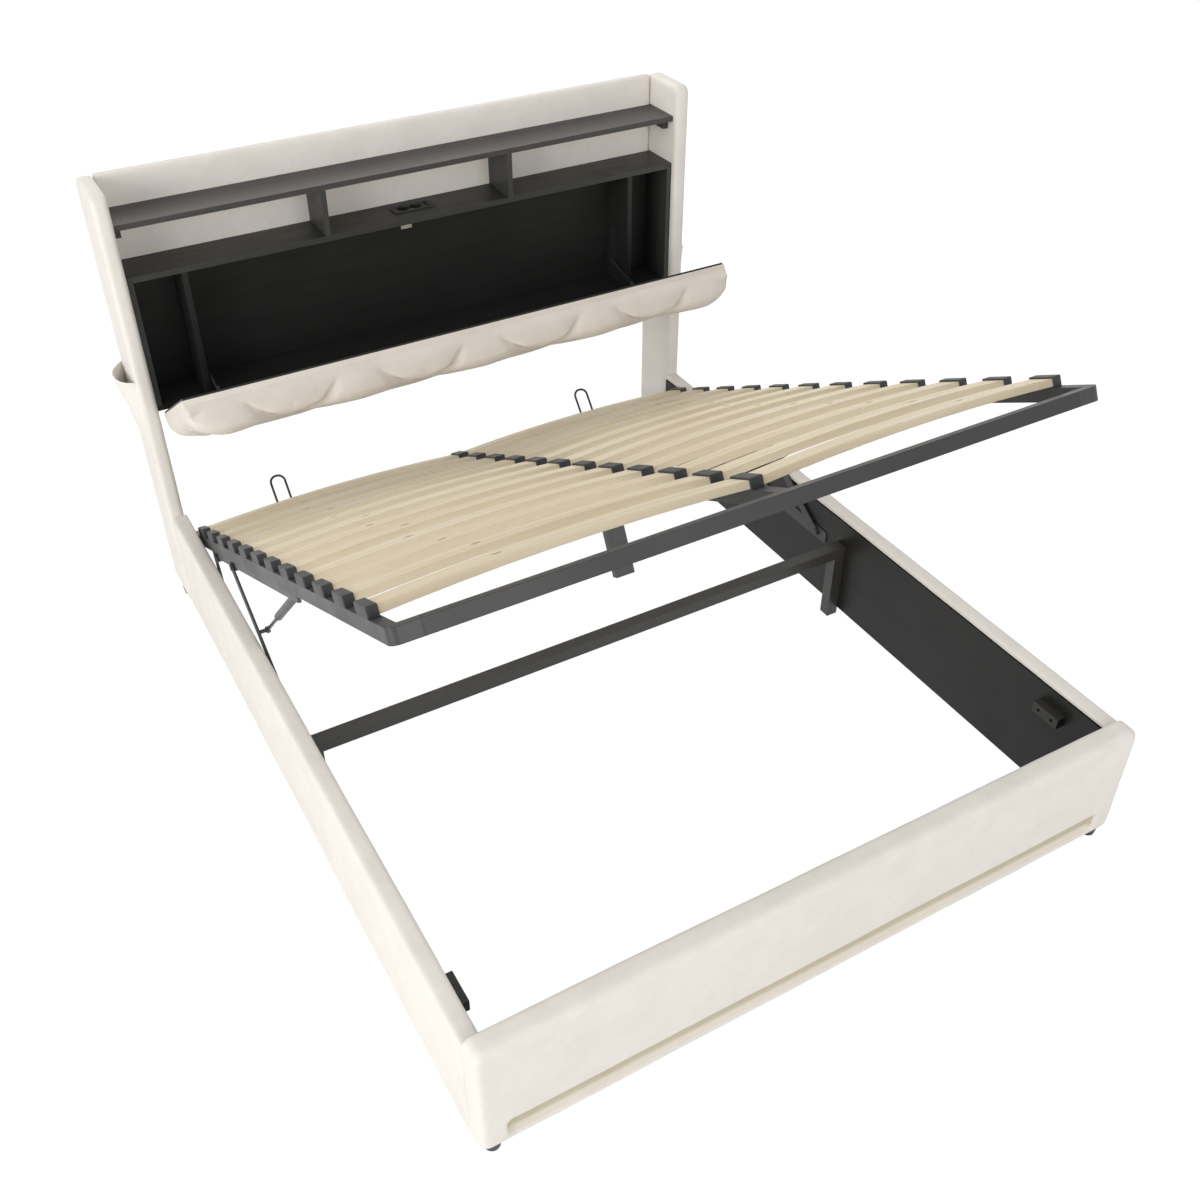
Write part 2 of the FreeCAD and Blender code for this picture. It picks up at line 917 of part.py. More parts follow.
def cross_leg():
    x_pair = (rail_inner - cross_bar_size, rail_inner)
    tube = hollow(x_pair, cross_bar_run(), (0, cross_bar_level - cross_bar_size), upward, cross_bar_wall)
    foot_run = grown(cross_bar_run(), -cross_bar_wall)
    foot = block(grown(x_pair, -cross_bar_wall), foot_run, (0, cross_leg_foot))
    return tube.fuse(foot).removeSplitter()


# Lift mechanism
def drilled_link(x_pair, first, second, hole_places):
    shape = strap(x_pair, first, second, link_width)
    for place in hole_places:
        shape = shape.cut(peg(grown(x_pair, overrun), place, pin_radius + pin_clearance))
    return shape


def link_band():
    return (link_inner, link_outer)


def headed_pin(x_from, x_to, point):
    """A pivot pin with a flat head at its far end, running either way along X."""
    low, high = sorted((x_from, x_to))
    pin = peg((low, high), point, pin_radius)
    head_far = x_to + math.copysign(pin_head_height, x_to - x_from)
    head = peg(tuple(sorted((x_to, head_far))), point, pin_head_radius)
    return pin.fuse(head).removeSplitter()


def mechanism_base():
    x_pair = (plate_inner, rail_inner)
    ends = (main_pivot[0] - plate_end, rear_pivot[0] + plate_end)
    levels = grown((main_pivot_level, main_pivot_level), plate_height / 2)
    plate = block(x_pair, ends, levels)
    plate = plate.makeFillet(plate_height / 4, straight_edges(plate, across, lambda place: True))
    pins = []
    for place in (main_pivot, rear_pivot):
        pins.append(headed_pin(plate_inner, link_inner - pin_clearance, place))
    return plate.multiFuse(pins).removeSplitter()


def main_link():
    shape = drilled_link(link_band(), main_pivot, front_eye, (main_pivot, front_eye))
    stud = peg((strut_line + strut_eye_width / 2 + strut_open_gap, link_inner), strut_foot, strut_pin_radius)
    return shape.fuse(stud).removeSplitter()


def rear_link():
    return drilled_link(link_band(), rear_pivot, rear_eye, (rear_pivot,))


def frame_up(shape):
    """Lift a piece of the frame, modelled flat with Y from its foot end and Z from its tube tops."""
    lifted = shape.copy()
    lifted.translate(Vector(0, -front_eye_place, -eye_depth))
    lifted.rotate(origin, across, -lift_open_angle)
    lifted.translate(Vector(0, front_eye[0], front_eye[1]))
    return lifted


def lift_bar():
    x_pair = (bar_inner, bar_outer)
    top = -tube_depth
    bar = block(x_pair, (lift_bar_front, rear_eye_place + lift_bar_end), (top - lift_bar_depth, top))
    lugs = []
    for place in (front_eye_place, rear_eye_place):
        lugs.append(peg(x_pair, (place, eye_depth), link_width / 2))
    pin = headed_pin(bar_outer, link_outer + pin_clearance, (front_eye_place, eye_depth))
    boss = peg((bar_outer, link_inner - pin_clearance), (rear_eye_place, eye_depth), pin_radius)
    stud_run = (strut_line - strut_eye_width / 2, bar_inner)
    stud = peg(stud_run, (strut_frame_place, strut_depth), strut_pin_radius)
    return bar.multiFuse(lugs + [pin, boss, stud]).removeSplitter()


# Gas struts, modelled along Y from the frame's pivot and then turned to the link's stud
def strut_turned(shape):
    placed = shape.copy()
    placed.rotate(origin, across, heading(strut_top, strut_foot))
    placed.translate(Vector(strut_line, strut_top[0], strut_top[1]))
    return placed


def strut_eye(place):
    return peg(middle(strut_eye_width / 2), (place, 0), strut_eye_radius)


def eye_hole(place):
    return peg(middle(strut_eye_width), (place, 0), strut_pin_radius + pin_clearance)


def strut_cylinder():
    start = strut_eye_radius
    barrel = Part.makeCylinder(strut_radius, strut_cylinder_length - start, Vector(0, start, 0), along)
    neck = peg(middle(strut_eye_width / 2), (0, 0), strut_eye_radius)
    web_run = (0, start + strut_end_wall / 2)
    web = block(middle(strut_eye_width / 2), web_run, middle(strut_eye_radius * 3 / 4))
    shape = barrel.multiFuse([neck, web]).removeSplitter().cut(eye_hole(0))
    bore_start = start + strut_end_wall
    bore = Part.makeCylinder(
        strut_rod_radius + strut_rod_clearance,
        strut_cylinder_length - bore_start + overrun,
        Vector(0, bore_start, 0),
        along,
    )
    return strut_turned(shape.cut(bore))


def strut_rod():
    start = strut_cylinder_length - strut_rod_inside
    rod = Part.makeCylinder(strut_rod_radius, strut_length - start, Vector(0, start, 0), along)
    shape = rod.fuse(strut_eye(strut_length)).removeSplitter().cut(eye_hole(strut_length))
    return strut_turned(shape)


# Lift frame tubes and corners
def tube_levels():
    return (-tube_depth, 0)


def side_tube():
    x_pair = (lift_half - tube_width, lift_half)
    return frame_up(hollow(x_pair, (corner_arm, lift_length - corner_arm), tube_levels(), along, tube_wall))


def end_tube(near):
    return frame_up(
        hollow(middle(lift_half - corner_arm), (near, near + tube_width), tube_levels(), across, tube_wall)
    )


def centre_tube():
    half = centre_tube_width / 2
    return frame_up(
        hollow(middle(half), (tube_width, lift_length - tube_width), tube_levels(), along, tube_wall)
    )


def frame_corner():
    """The moulded corner at the right foot end, with a plug for each tube."""
    inner = tube_width
    whole = block((lift_half - corner_arm, lift_half), (0, corner_arm), tube_levels())
    notch = block(
        (lift_half - corner_arm - overrun, lift_half - inner),
        (inner, corner_arm + overrun),
        grown(tube_levels(), overrun),
    )
    shape = whole.cut(notch)
    outer = straight_edges(
        shape, upward, lambda place: place.x > lift_half - inner / 2 and place.y < inner / 2
    )
    shape = shape.makeFillet(corner_radius, outer)
    slack = tube_wall + corner_clearance
    levels = grown(tube_levels(), -slack)
    side_plug = block(
        (lift_half - tube_width + slack, lift_half - slack), (corner_arm, corner_arm + corner_spigot), levels
    )
    end_plug = block(
        (lift_half - corner_arm - corner_spigot, lift_half - corner_arm), (slack, tube_width - slack), levels
    )
    return shape.multiFuse([side_plug, end_plug]).removeSplitter()


def frame_corners():
    foot = pair_of(frame_corner())
    head = foot.mirror(Vector(0, lift_length / 2, 0), along)
    return frame_up(Part.makeCompound(foot.Solids + head.Solids))


# Slats and holders
def slat_rows():
    pitch = (lift_length - slat_from_foot - slat_from_head) / (slat_count - 1)
    return [slat_from_foot + index * pitch for index in range(slat_count)]


def slat(row, allowance):
    """A bowed slat of the right half, or the room for it when an allowance is given."""
    near = centre_holder_wall / 2 - allowance
    far = lift_half - holder_end_wall + allowance
    half = slat_thickness / 2 + allowance
    width = slat_width + 2 * allowance
    centre = (near + far) / 2
    low = slat_seat - half
    high = slat_seat + half
    lower = Part.Arc(Vector(near, 0, low), Vector(centre, 0, low + slat_crown), Vector(far, 0, low))
    upper = Part.Arc(Vector(near, 0, high), Vector(centre, 0, high + slat_crown), Vector(far, 0, high))
    sides = [
        Part.makeLine(Vector(near, 0, low), Vector(near, 0, high)),
        Part.makeLine(Vector(far, 0, low), Vector(far, 0, high)),
    ]
    outline = Part.Wire(Part.__sortEdges__([lower.toShape(), upper.toShape()] + sides))
    shape = Part.Face(outline).extrude(along * width)
    shape.translate(Vector(0, row - width / 2, 0))
    return shape


def slats():
    return frame_up(Part.makeCompound([slat(row, 0) for row in slat_rows()]))


def holder_body(x_pair, row):
    """A cap on a tube for the ends of slats, rounded above and at its upright corners."""
    height = slat_seat + slat_thickness / 2 + slat_clearance + holder_lip
    shape = block(x_pair, (row - holder_length / 2, row + holder_length / 2), (0, height))
    uprights = straight_edges(shape, upward, lambda place: True)
    rims = straight_edges(shape, across, lambda place: place.z > height / 2)
    ends = straight_edges(shape, along, lambda place: place.z > height / 2)
    return shape.makeFillet(holder_round, uprights + rims + ends)


def side_holders():
    made = []
    for row in slat_rows():
        made.append(holder_body((lift_half - holder_width, lift_half), row).cut(slat(row, slat_clearance)))
    return frame_up(Part.makeCompound(made))


def centre_holders():
    made = []
    for row in slat_rows():
        room = slat(row, slat_clearance)
        made.append(holder_body(middle(centre_holder_width / 2), row).cut(room).cut(mirrored(room)))
    return frame_up(Part.makeCompound(made))


# Centre leg and mattress stops
def centre_leg():
    top = -tube_depth
    return frame_up(
        hollow(
            middle(centre_leg_width / 2),
            (centre_leg_from_foot, centre_leg_from_foot + centre_leg_thickness),
            (top - centre_leg_length, top),
            upward,
            centre_leg_wall,
        )
    )


def mattress_stop():
    """A bent wire loop that stands on the head tube and leans back a little."""
    radius = stop_bend_radius
    half = (stop_width - stop_wire_diameter) / 2
    top = stop_height - stop_wire_diameter / 2
    slope = math.sin(math.radians(45))
    bend = radius * (1 - slope)
    points = {
        "foot": Vector(half, 0, -overrun),
        "bend_start": Vector(half, 0, top - radius),
        "bend_middle": Vector(half - bend, 0, top - bend),
        "bend_end": Vector(half - radius, 0, top),
    }
    other = {name: Vector(-point.x, point.y, point.z) for name, point in points.items()}
    path = Part.Wire(
        [
            Part.makeLine(points["foot"], points["bend_start"]),
            Part.Arc(points["bend_start"], points["bend_middle"], points["bend_end"]).toShape(),
            Part.makeLine(points["bend_end"], other["bend_end"]),
            Part.Arc(other["bend_end"], other["bend_middle"], other["bend_start"]).toShape(),
            Part.makeLine(other["bend_start"], other["foot"]),
        ]
    )
    ring = Part.Wire(Part.makeCircle(stop_wire_diameter / 2, points["foot"], upward))
    shape = path.makePipeShell([ring], True, False)
    shape.rotate(origin, across, -stop_lean_angle)
    below = block(middle(stop_width), middle(stop_width), (-stop_width, 0))
    shape = shape.cut(below)
    shape.translate(Vector(stop_spacing / 2, lift_length - tube_width / 2, 0))
    return shape


os.makedirs("parts", exist_ok=True)

save("foot_glides", glides())
save("footboard_board", footboard_board())
save("footboard_cover", footboard_cover())
save_sides("rail_board", rail_board())
save_sides("rail_cover", rail_cover())
save("corner_bolts", Part.makeCompound(pair_of(Part.makeCompound(bolt_set(0))).Solids))
save_sides("wing", wing())
save("headboard_back", back_panel())
save_sides("side_pocket", side_pocket())
save("upper_shelf", shelf(upper_shelf_level))
save("shelf_uprights", pair_of(shelf_upright()))
save("shelf_brackets", pair_of(shelf_bracket()))
save("cabinet_top", cabinet_top())
save("cabinet_bottom", shelf(cabinet_underside + board_thickness))
save("cabinet_back", cabinet_back())
save_sides("cabinet_side", cabinet_side())
save_sides("cabinet_divider", cabinet_divider())
save("socket_housing", socket_housing())
save("socket_inserts", socket_inserts())
save("flap_catch", flap_catch())
save("hinge_fixed_leaves", hinge_fixed())
save("stay_tracks", pair_of(stay_track()))
save("rest_blocks", pair_of(rest_block()))
save("cross_bar", cross_bar())
save("cross_bar_legs", pair_of(cross_leg()))
save_sides("mechanism_base", mechanism_base())
save_sides("main_link", main_link())
save_sides("rear_link", rear_link())
save("strut_cylinders", pair_of(strut_cylinder()))
save("strut_rods", pair_of(strut_rod()))
save_sides("side_tube", side_tube())
save("foot_tube", end_tube(0))
save("head_tube", end_tube(lift_length - tube_width))
save("centre_tube", centre_tube())
save("frame_corners", frame_corners())
save_sides("lift_bar", frame_up(lift_bar()))
save_sides("slat_holders", side_holders())
save("centre_slat_holders", centre_holders())
save_sides("slats", slats())
save("centre_leg", centre_leg())
save("mattress_stops", frame_up(pair_of(mattress_stop())))
save("flap_board", opened(flap_board()))
save("flap_cushion", opened(flap_cushion()))
save("hinge_moving_leaves", opened(hinge_moving()))
save("stay_lugs", opened(pair_of(stay_lug())))
save("stay_arms", pair_of(stay_arm()))
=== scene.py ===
import bpy
import math
from mathutils import Matrix, Vector


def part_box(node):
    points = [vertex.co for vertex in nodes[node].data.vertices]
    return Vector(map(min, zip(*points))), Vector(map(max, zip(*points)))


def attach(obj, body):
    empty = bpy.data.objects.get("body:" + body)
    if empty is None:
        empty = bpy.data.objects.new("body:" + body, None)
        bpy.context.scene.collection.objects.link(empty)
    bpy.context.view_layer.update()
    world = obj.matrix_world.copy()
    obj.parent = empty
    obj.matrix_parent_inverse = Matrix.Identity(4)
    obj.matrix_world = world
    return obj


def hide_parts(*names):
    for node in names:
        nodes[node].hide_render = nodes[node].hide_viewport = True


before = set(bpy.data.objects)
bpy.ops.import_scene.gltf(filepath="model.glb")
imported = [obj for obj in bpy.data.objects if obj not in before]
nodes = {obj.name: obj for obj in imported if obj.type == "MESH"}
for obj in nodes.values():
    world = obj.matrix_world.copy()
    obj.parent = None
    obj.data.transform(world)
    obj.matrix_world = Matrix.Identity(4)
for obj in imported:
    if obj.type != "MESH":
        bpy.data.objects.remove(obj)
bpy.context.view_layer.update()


# Foot glides
# Four short round glides of moulded black plastic, screwed up into the footboard and the wings.
# Their skin is a fine spark texture with a dull, slightly uneven gloss.
def linear(red, green, blue):
    """A colour picked on a screen, as the linear colour that a shader takes."""
    parts = []
    for value in (red, green, blue):
        share = value / 255
        parts.append(share / 12.92 if share <= 0.04045 else ((share + 0.055) / 1.055) ** 2.4)
    return (*parts, 1.0)


def new_effect(name, inputs, outputs):
    """An empty shader node group with its sockets and its two end nodes."""
    group = bpy.data.node_groups.new(name, "ShaderNodeTree")
    for socket, kind, value in inputs:
        made = group.interface.new_socket(socket, in_out="INPUT", socket_type="NodeSocket" + kind)
        made.default_value = value
    for socket, kind in outputs:
        group.interface.new_socket(socket, in_out="OUTPUT", socket_type="NodeSocket" + kind)
    start = group.nodes.new("NodeGroupInput")
    end = group.nodes.new("NodeGroupOutput")
    return group, start, end


def add_node(tree, kind, inputs=None, **settings):
    """A node of a kind, with its settings, and its inputs set or linked by name or place."""
    node = tree.nodes.new("ShaderNode" + kind)
    for key, value in settings.items():
        setattr(node, key, value)
    for key, value in (inputs or {}).items():
        if isinstance(value, bpy.types.NodeSocket):
            tree.links.new(value, node.inputs[key])
        else:
            node.inputs[key].default_value = value
    return node


def noise(tree, place, scale, detail=3.0, roughness=0.55):
    inputs = {"Vector": place, "Scale": scale, "Detail": detail, "Roughness": roughness}
    return add_node(tree, "TexNoise", inputs).outputs["Fac"]


def ramp(tree, value, low, high, to_low, to_high):
    node = add_node(
        tree,
        "MapRange",
        {"Value": value, "From Min": low, "From Max": high, "To Min": to_low, "To Max": to_high},
        interpolation_type="SMOOTHSTEP",
    )
    return node.outputs["Result"]


def blend_colour(tree, amount, first, second, mode="MIX"):
    node = tree.nodes.new("ShaderNodeMix")
    node.data_type = "RGBA"
    node.blend_type = mode
    for key, value in ((0, amount), (6, first), (7, second)):
        if isinstance(value, bpy.types.NodeSocket):
            tree.links.new(value, node.inputs[key])
        else:
            node.inputs[key].default_value = value
    return node.outputs[2]


def sums(tree, operation, first, second=0.0):
    return add_node(tree, "Math", {0: first, 1: second}, operation=operation).outputs[0]


def new_finish(name):
    material = bpy.data.materials.new(name)
    material.use_nodes = True
    return material, material.node_tree, material.node_tree.nodes["Principled BSDF"]


def dress(tree, shader, skin, strength, depth, normal=None):
    """Lead a skin's colour, roughness and fine relief into the shader of its material."""
    relief = {"Strength": strength, "Distance": depth, "Height": skin.outputs["Height"]}
    if normal is not None:
        relief["Normal"] = normal
    bump = add_node(tree, "Bump", relief)
    tree.links.new(skin.outputs["Colour"], shader.inputs["Base Color"])
    tree.links.new(skin.outputs["Roughness"], shader.inputs["Roughness"])
    tree.links.new(bump.outputs["Normal"], shader.inputs["Normal"])


def paint(node_names, material):
    """Give a finish to pieces that came over from the solids."""
    for name in node_names:
        nodes[name].data.materials.clear()
        nodes[name].data.materials.append(material)


spark, start, end = new_effect(
    "spark_skin",
    [("Colour", "Color", (0.03, 0.03, 0.03, 1)), ("Grain", "Float", 1.0)],
    [("Colour", "Color"), ("Roughness", "Float"), ("Height", "Float")],
)
place = add_node(spark, "TexCoord").outputs["Object"]
fine = noise(spark, place, 1400.0, 2.0)
broad = noise(spark, place, 22.0, 4.0)
paler = blend_colour(spark, 1.0, start.outputs["Colour"], (1.7, 1.7, 1.75, 1), "MULTIPLY")
spark.links.new(
    blend_colour(spark, ramp(spark, broad, 0.35, 0.75, 0.0, 0.3), start.outputs["Colour"], paler),
    end.inputs["Colour"],
)
spark.links.new(ramp(spark, broad, 0.3, 0.7, 0.46, 0.6), end.inputs["Roughness"])
spark.links.new(sums(spark, "MULTIPLY", fine, start.outputs["Grain"]), end.inputs["Height"])


def moulded(name, colour, grain=1.0, edge=0.0012):
    """Moulded plastic: spark-eroded skin, edges a little round, no gloss coat."""
    material, tree, shader = new_finish(name)
    skin = add_node(tree, "Group", {"Colour": colour, "Grain": grain}, node_tree=spark)
    soft = add_node(tree, "Bevel", {"Radius": edge})
    dress(tree, shader, skin, strength=0.12, depth=0.0004, normal=soft.outputs[0])
    return material


paint(["foot_glides"], moulded("glide_plastic", linear(30, 33, 33), grain=1.0, edge=0.002))


# Footboard
# A board with foam glued round its front, top and ends, and a cream velour pulled over it.
# A long recess low on its front is lined with the same cloth, darkened there as painted shade that is
# strongest under the recess roof and fades out towards its floor.
def bare():
    """Leave nothing selected and no edit mode on."""
    if bpy.context.object and bpy.context.object.mode != "OBJECT":
        bpy.ops.object.mode_set(mode="OBJECT")
    bpy.ops.object.select_all(action="DESELECT")


def take(piece):
    """Leave one piece selected and active."""
    bare()
    piece.select_set(True)
    bpy.context.view_layer.objects.active = piece


def new_block(name, low, high):
    """A block between two corners, its place in its mesh."""
    bare()
    centre = [(a + b) / 2 for a, b in zip(low, high)]
    size = [b - a for a, b in zip(low, high)]
    bpy.ops.mesh.primitive_cube_add(size=1, location=centre, scale=size)
    piece = bpy.context.object
    piece.name = name
    piece.data.name = name
    bpy.ops.object.transform_apply(location=True, rotation=True, scale=True)
    return piece


def pick_none(kind):
    """Leave no face, edge or point of the active piece selected, ready to pick one kind of them."""
    bpy.ops.object.mode_set(mode="EDIT")
    bpy.ops.mesh.select_mode(type=kind)
    bpy.ops.mesh.select_all(action="DESELECT")
    bpy.ops.object.mode_set(mode="OBJECT")


def pick_edges(piece, wanted):
    """Go into edit mode with the edges selected whose two ends are wanted."""
    pick_none("EDGE")
    points = [v.co.copy() for v in piece.data.vertices]
    for edge in piece.data.edges:
        edge.select = wanted(points[edge.vertices[0]], points[edge.vertices[1]])
    bpy.ops.object.mode_set(mode="EDIT")


def pick_faces(piece, wanted):
    """Go into edit mode with the faces selected whose middle and normal are wanted."""
    pick_none("FACE")
    for face in piece.data.polygons:
        face.select = wanted(face.center, face.normal)
    bpy.ops.object.mode_set(mode="EDIT")


def round_edges(piece, radius, segments, wanted):
    pick_edges(piece, wanted)
    bpy.ops.mesh.bevel(offset=radius, segments=segments, affect="EDGES", profile=0.5)
    bpy.ops.object.mode_set(mode="OBJECT")


def apply_modifier(piece, kind, **settings):
    take(piece)
    modifier = piece.modifiers.new(kind.lower(), kind)
    for key, value in settings.items():
        setattr(modifier, key, value)
    bpy.ops.object.modifier_apply(modifier=modifier.name)


def smooth_shaded(piece):
    take(piece)
    bpy.ops.object.shade_smooth()


foam_swell = bpy.data.textures.new("foam_swell", "CLOUDS")
foam_swell.noise_scale = 0.34
foam_swell.noise_depth = 1
cloth_ripple = bpy.data.textures.new("cloth_ripple", "CLOUDS")
cloth_ripple.noise_scale = 0.075
cloth_ripple.noise_depth = 2


def upholster(piece, voxel, swell, ripple):
    """Turn a shaped block into foam under tight cloth: an even fine mesh, slightly uneven and softened."""
    apply_modifier(piece, "REMESH", mode="VOXEL", voxel_size=voxel, use_smooth_shade=True)
    apply_modifier(piece, "SMOOTH", factor=0.5, iterations=6)
    for texture, strength in ((foam_swell, swell), (cloth_ripple, ripple)):
        apply_modifier(
            piece, "DISPLACE", texture=texture, texture_coords="GLOBAL", strength=strength, mid_level=0.55
        )
    smooth_shaded(piece)


velour, start, end = new_effect(
    "velour_pile",
    [
        ("Colour", "Color", (0.8, 0.78, 0.74, 1)),
        ("Brushed", "Color", (0.7, 0.68, 0.63, 1)),
        ("Cloud", "Float", 1.0),
    ],
    [("Colour", "Color"), ("Roughness", "Float"), ("Height", "Float")],
)
place = add_node(velour, "TexCoord").outputs["Object"]
bent = add_node(velour, "TexNoise", {"Vector": place, "Scale": 7.0, "Detail": 2.0})
moved = add_node(
    velour, "VectorMath", {0: bent.outputs["Color"], 1: (0.12, 0.12, 0.12)}, operation="MULTIPLY"
).outputs[0]
drifted = add_node(velour, "VectorMath", {0: place, 1: moved}, operation="ADD").outputs[0]
clouds = noise(velour, drifted, 9.0, 5.0, 0.6)
strokes = noise(velour, drifted, 55.0, 4.0, 0.6)
pile = noise(velour, place, 1500.0, 2.0)
weave = noise(velour, place, 420.0, 3.0)
broad_tone = ramp(velour, clouds, 0.36, 0.66, 0.0, 0.6)
stroke_tone = ramp(velour, strokes, 0.42, 0.7, 0.0, 0.34)
mottle = sums(velour, "MULTIPLY", sums(velour, "ADD", broad_tone, stroke_tone), start.outputs["Cloud"])
tone = blend_colour(velour, mottle, start.outputs["Colour"], start.outputs["Brushed"])
fleck = blend_colour(velour, ramp(velour, weave, 0.3, 0.75, 0.0, 0.1), tone, start.outputs["Brushed"])
velour.links.new(fleck, end.inputs["Colour"])
velour.links.new(ramp(velour, clouds, 0.3, 0.7, 0.82, 0.94), end.inputs["Roughness"])
relief = sums(velour, "ADD", sums(velour, "MULTIPLY", pile, 0.55), sums(velour, "MULTIPLY", weave, 0.8))
velour.links.new(relief, end.inputs["Height"])


def velour_finish(name, colour, brushed, cloud):
    """Short-pile velour: a soft cloudy tone where the pile is brushed, a faint sheen at grazing angles."""
    material, tree, shader = new_finish(name)
    inputs = {"Colour": colour, "Brushed": brushed, "Cloud": cloud}
    cloth = add_node(tree, "Group", inputs, node_tree=velour)
    dress(tree, shader, cloth, strength=0.1, depth=0.0008)
    shader.inputs["Sheen Weight"].default_value = 0.12
    shader.inputs["Sheen Roughness"].default_value = 0.5
    shader.inputs["Specular IOR Level"].default_value = 0.2
    return material


def shade_graded_by_height(material, low, high, colour, brushed):
    """Painted shade by height: the cloth takes the given tones below the low level and keeps its own above
    the high level, blended between.
    """
    tree = material.node_tree
    cloth = next(node for node in tree.nodes if node.type == "GROUP")
    height = add_node(tree, "SeparateXYZ", {0: add_node(tree, "TexCoord").outputs["Object"]}).outputs["Z"]
    for socket, below in (("Colour", colour), ("Brushed", brushed)):
        above = tuple(cloth.inputs[socket].default_value)
        tone = blend_colour(tree, ramp(tree, height, low, high, 0.0, 1.0), below, above)
        tree.links.new(tone, cloth.inputs[socket])


cream = velour_finish("cream_velour", linear(233, 228, 221), linear(226, 221, 213), cloud=1.0)
# The recess velour is the cream cloth darkened, as painted shade inside the footboard's recess.
recess = velour_finish("recess_shade_velour", linear(198, 188, 166), linear(188, 177, 154), cloud=0.7)

front_low, front_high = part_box("footboard_cover")
board_low, board_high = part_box("footboard_board")
footboard = new_block("footboard_upholstery", front_low, front_high)
corner_round, front_round, inner_round = 0.026, 0.019, 0.004
round_edges(footboard, corner_round, 6, lambda a, b: abs(a.x - b.x) < 1e-5 and abs(a.z - b.z) < 1e-5)
round_edges(footboard, front_round, 6, lambda a, b: max(a.y, b.y) < front_low.y + 1e-4)
round_edges(footboard, inner_round, 2, lambda a, b: min(a.y, b.y) > front_high.y - 1e-4)
slot_margin, slot_depth, slot_floor, slot_roof, slot_round = 0.062, 0.014, 0.021, 0.076, 0.014
board_gap, overrun = 0.0005, 0.02
slot_low = Vector((front_low.x + slot_margin, front_low.y - overrun, front_low.z + slot_floor))
slot_high = Vector((front_high.x - slot_margin, front_low.y + slot_depth, front_low.z + slot_roof))
slot_tool = new_block("slot_tool", slot_low, slot_high)
round_edges(slot_tool, slot_round, 5, lambda a, b: abs(a.x - b.x) < 1e-5 and abs(a.z - b.z) < 1e-5)
board_tool = new_block(
    "board_tool",
    (board_low.x, board_low.y - board_gap, board_low.z - overrun),
    (board_high.x, board_high.y + overrun, board_high.z),
)
apply_modifier(footboard, "BOOLEAN", operation="DIFFERENCE", object=slot_tool, solver="EXACT")
apply_modifier(footboard, "BOOLEAN", operation="DIFFERENCE", object=board_tool, solver="EXACT")
bpy.data.objects.remove(slot_tool)
bpy.data.objects.remove(board_tool)
upholster(footboard, voxel=0.005, swell=0.003, ripple=0.0012)
# The painted shade in the recess fades out towards its floor, which takes a tone close to the cream.
shade_low, shade_high = slot_low.z + 0.002, slot_low.z + 0.020
shade_graded_by_height(recess, shade_low, shade_high, linear(228, 221, 208), linear(222, 214, 200))
footboard.data.materials.append(cream)
footboard.data.materials.append(recess)
# Faces inside the recess get the painted-shade velour.
lip_turn, roof_turn, mouth_turn, wall_reach = 0.004, 0.001, 0.006, 0.022
for face in footboard.data.polygons:
    spot = face.center
    inside = slot_low.x < spot.x < slot_high.x and slot_low.z - lip_turn < spot.z < slot_high.z + roof_turn
    deep = front_low.y + mouth_turn < spot.y < front_low.y + wall_reach
    face.material_index = 1 if inside and deep else 0
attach(footboard, "base")
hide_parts("footboard_cover")


# Dark boards
# The boards that show inside the bed and the headboard are chipboard with a near-black foil,
# printed with a faint straight grain and edged with the same foil, a little paler along worn edges.
foil, start, end = new_effect(
    "grain_foil",
    [
        ("Colour", "Color", (0.03, 0.03, 0.03, 1)),
        ("Stretch", "Vector", (1.0, 1.0, 1.0)),
        ("Edge", "Float", 0.0),
    ],
    [("Colour", "Color"), ("Roughness", "Float"), ("Height", "Float")],
)
place = add_node(foil, "TexCoord").outputs["Object"]
drawn = add_node(foil, "VectorMath", {0: place, 1: start.outputs["Stretch"]}, operation="MULTIPLY").outputs[0]
streak = noise(foil, drawn, 60.0, 5.0, 0.62)
pores = noise(foil, drawn, 420.0, 2.0)
dust = noise(foil, place, 5.0, 4.0)
lifted = blend_colour(foil, 1.0, start.outputs["Colour"], (1.3, 1.29, 1.27, 1), "MULTIPLY")
worn = blend_colour(foil, 1.0, start.outputs["Colour"], (1.2, 1.19, 1.17, 1), "MULTIPLY")
streaked = blend_colour(foil, ramp(foil, streak, 0.38, 0.72, 0.0, 0.45), start.outputs["Colour"], lifted)
foil.links.new(blend_colour(foil, start.outputs["Edge"], streaked, worn), end.inputs["Colour"])
foil.links.new(
    sums(foil, "ADD", ramp(foil, streak, 0.3, 0.7, 0.36, 0.46), ramp(foil, dust, 0.4, 0.7, 0.0, 0.08)),
    end.inputs["Roughness"],
)
foil.links.new(sums(foil, "ADD", sums(foil, "MULTIPLY", streak, 0.6), pores), end.inputs["Height"])


def edge_mask(tree, radius):
    """How far a rounded normal leans away from the flat one: 1 along sharp edges and 0 on faces."""
    soft = add_node(tree, "Bevel", {"Radius": radius}, samples=6)
    flat = add_node(tree, "NewGeometry").outputs["Normal"]
    lean = add_node(tree, "VectorMath", {0: soft.outputs[0], 1: flat}, operation="DOT_PRODUCT")
    return soft.outputs[0], ramp(tree, lean.outputs["Value"], 0.995, 0.8, 0.0, 1.0)


def foiled(name, colour, stretch, specular):
    """Foiled board: a faint printed grain along the stretch, worn a little paler at its edges."""
    material, tree, shader = new_finish(name)
    soft, edge = edge_mask(tree, 0.0012)
    inputs = {"Colour": colour, "Stretch": stretch, "Edge": sums(tree, "MULTIPLY", edge, 0.5)}
    skin = add_node(tree, "Group", inputs, node_tree=foil)
    dress(tree, shader, skin, strength=0.08, depth=0.0004, normal=soft)
    shader.inputs["Specular IOR Level"].default_value = specular
    return material


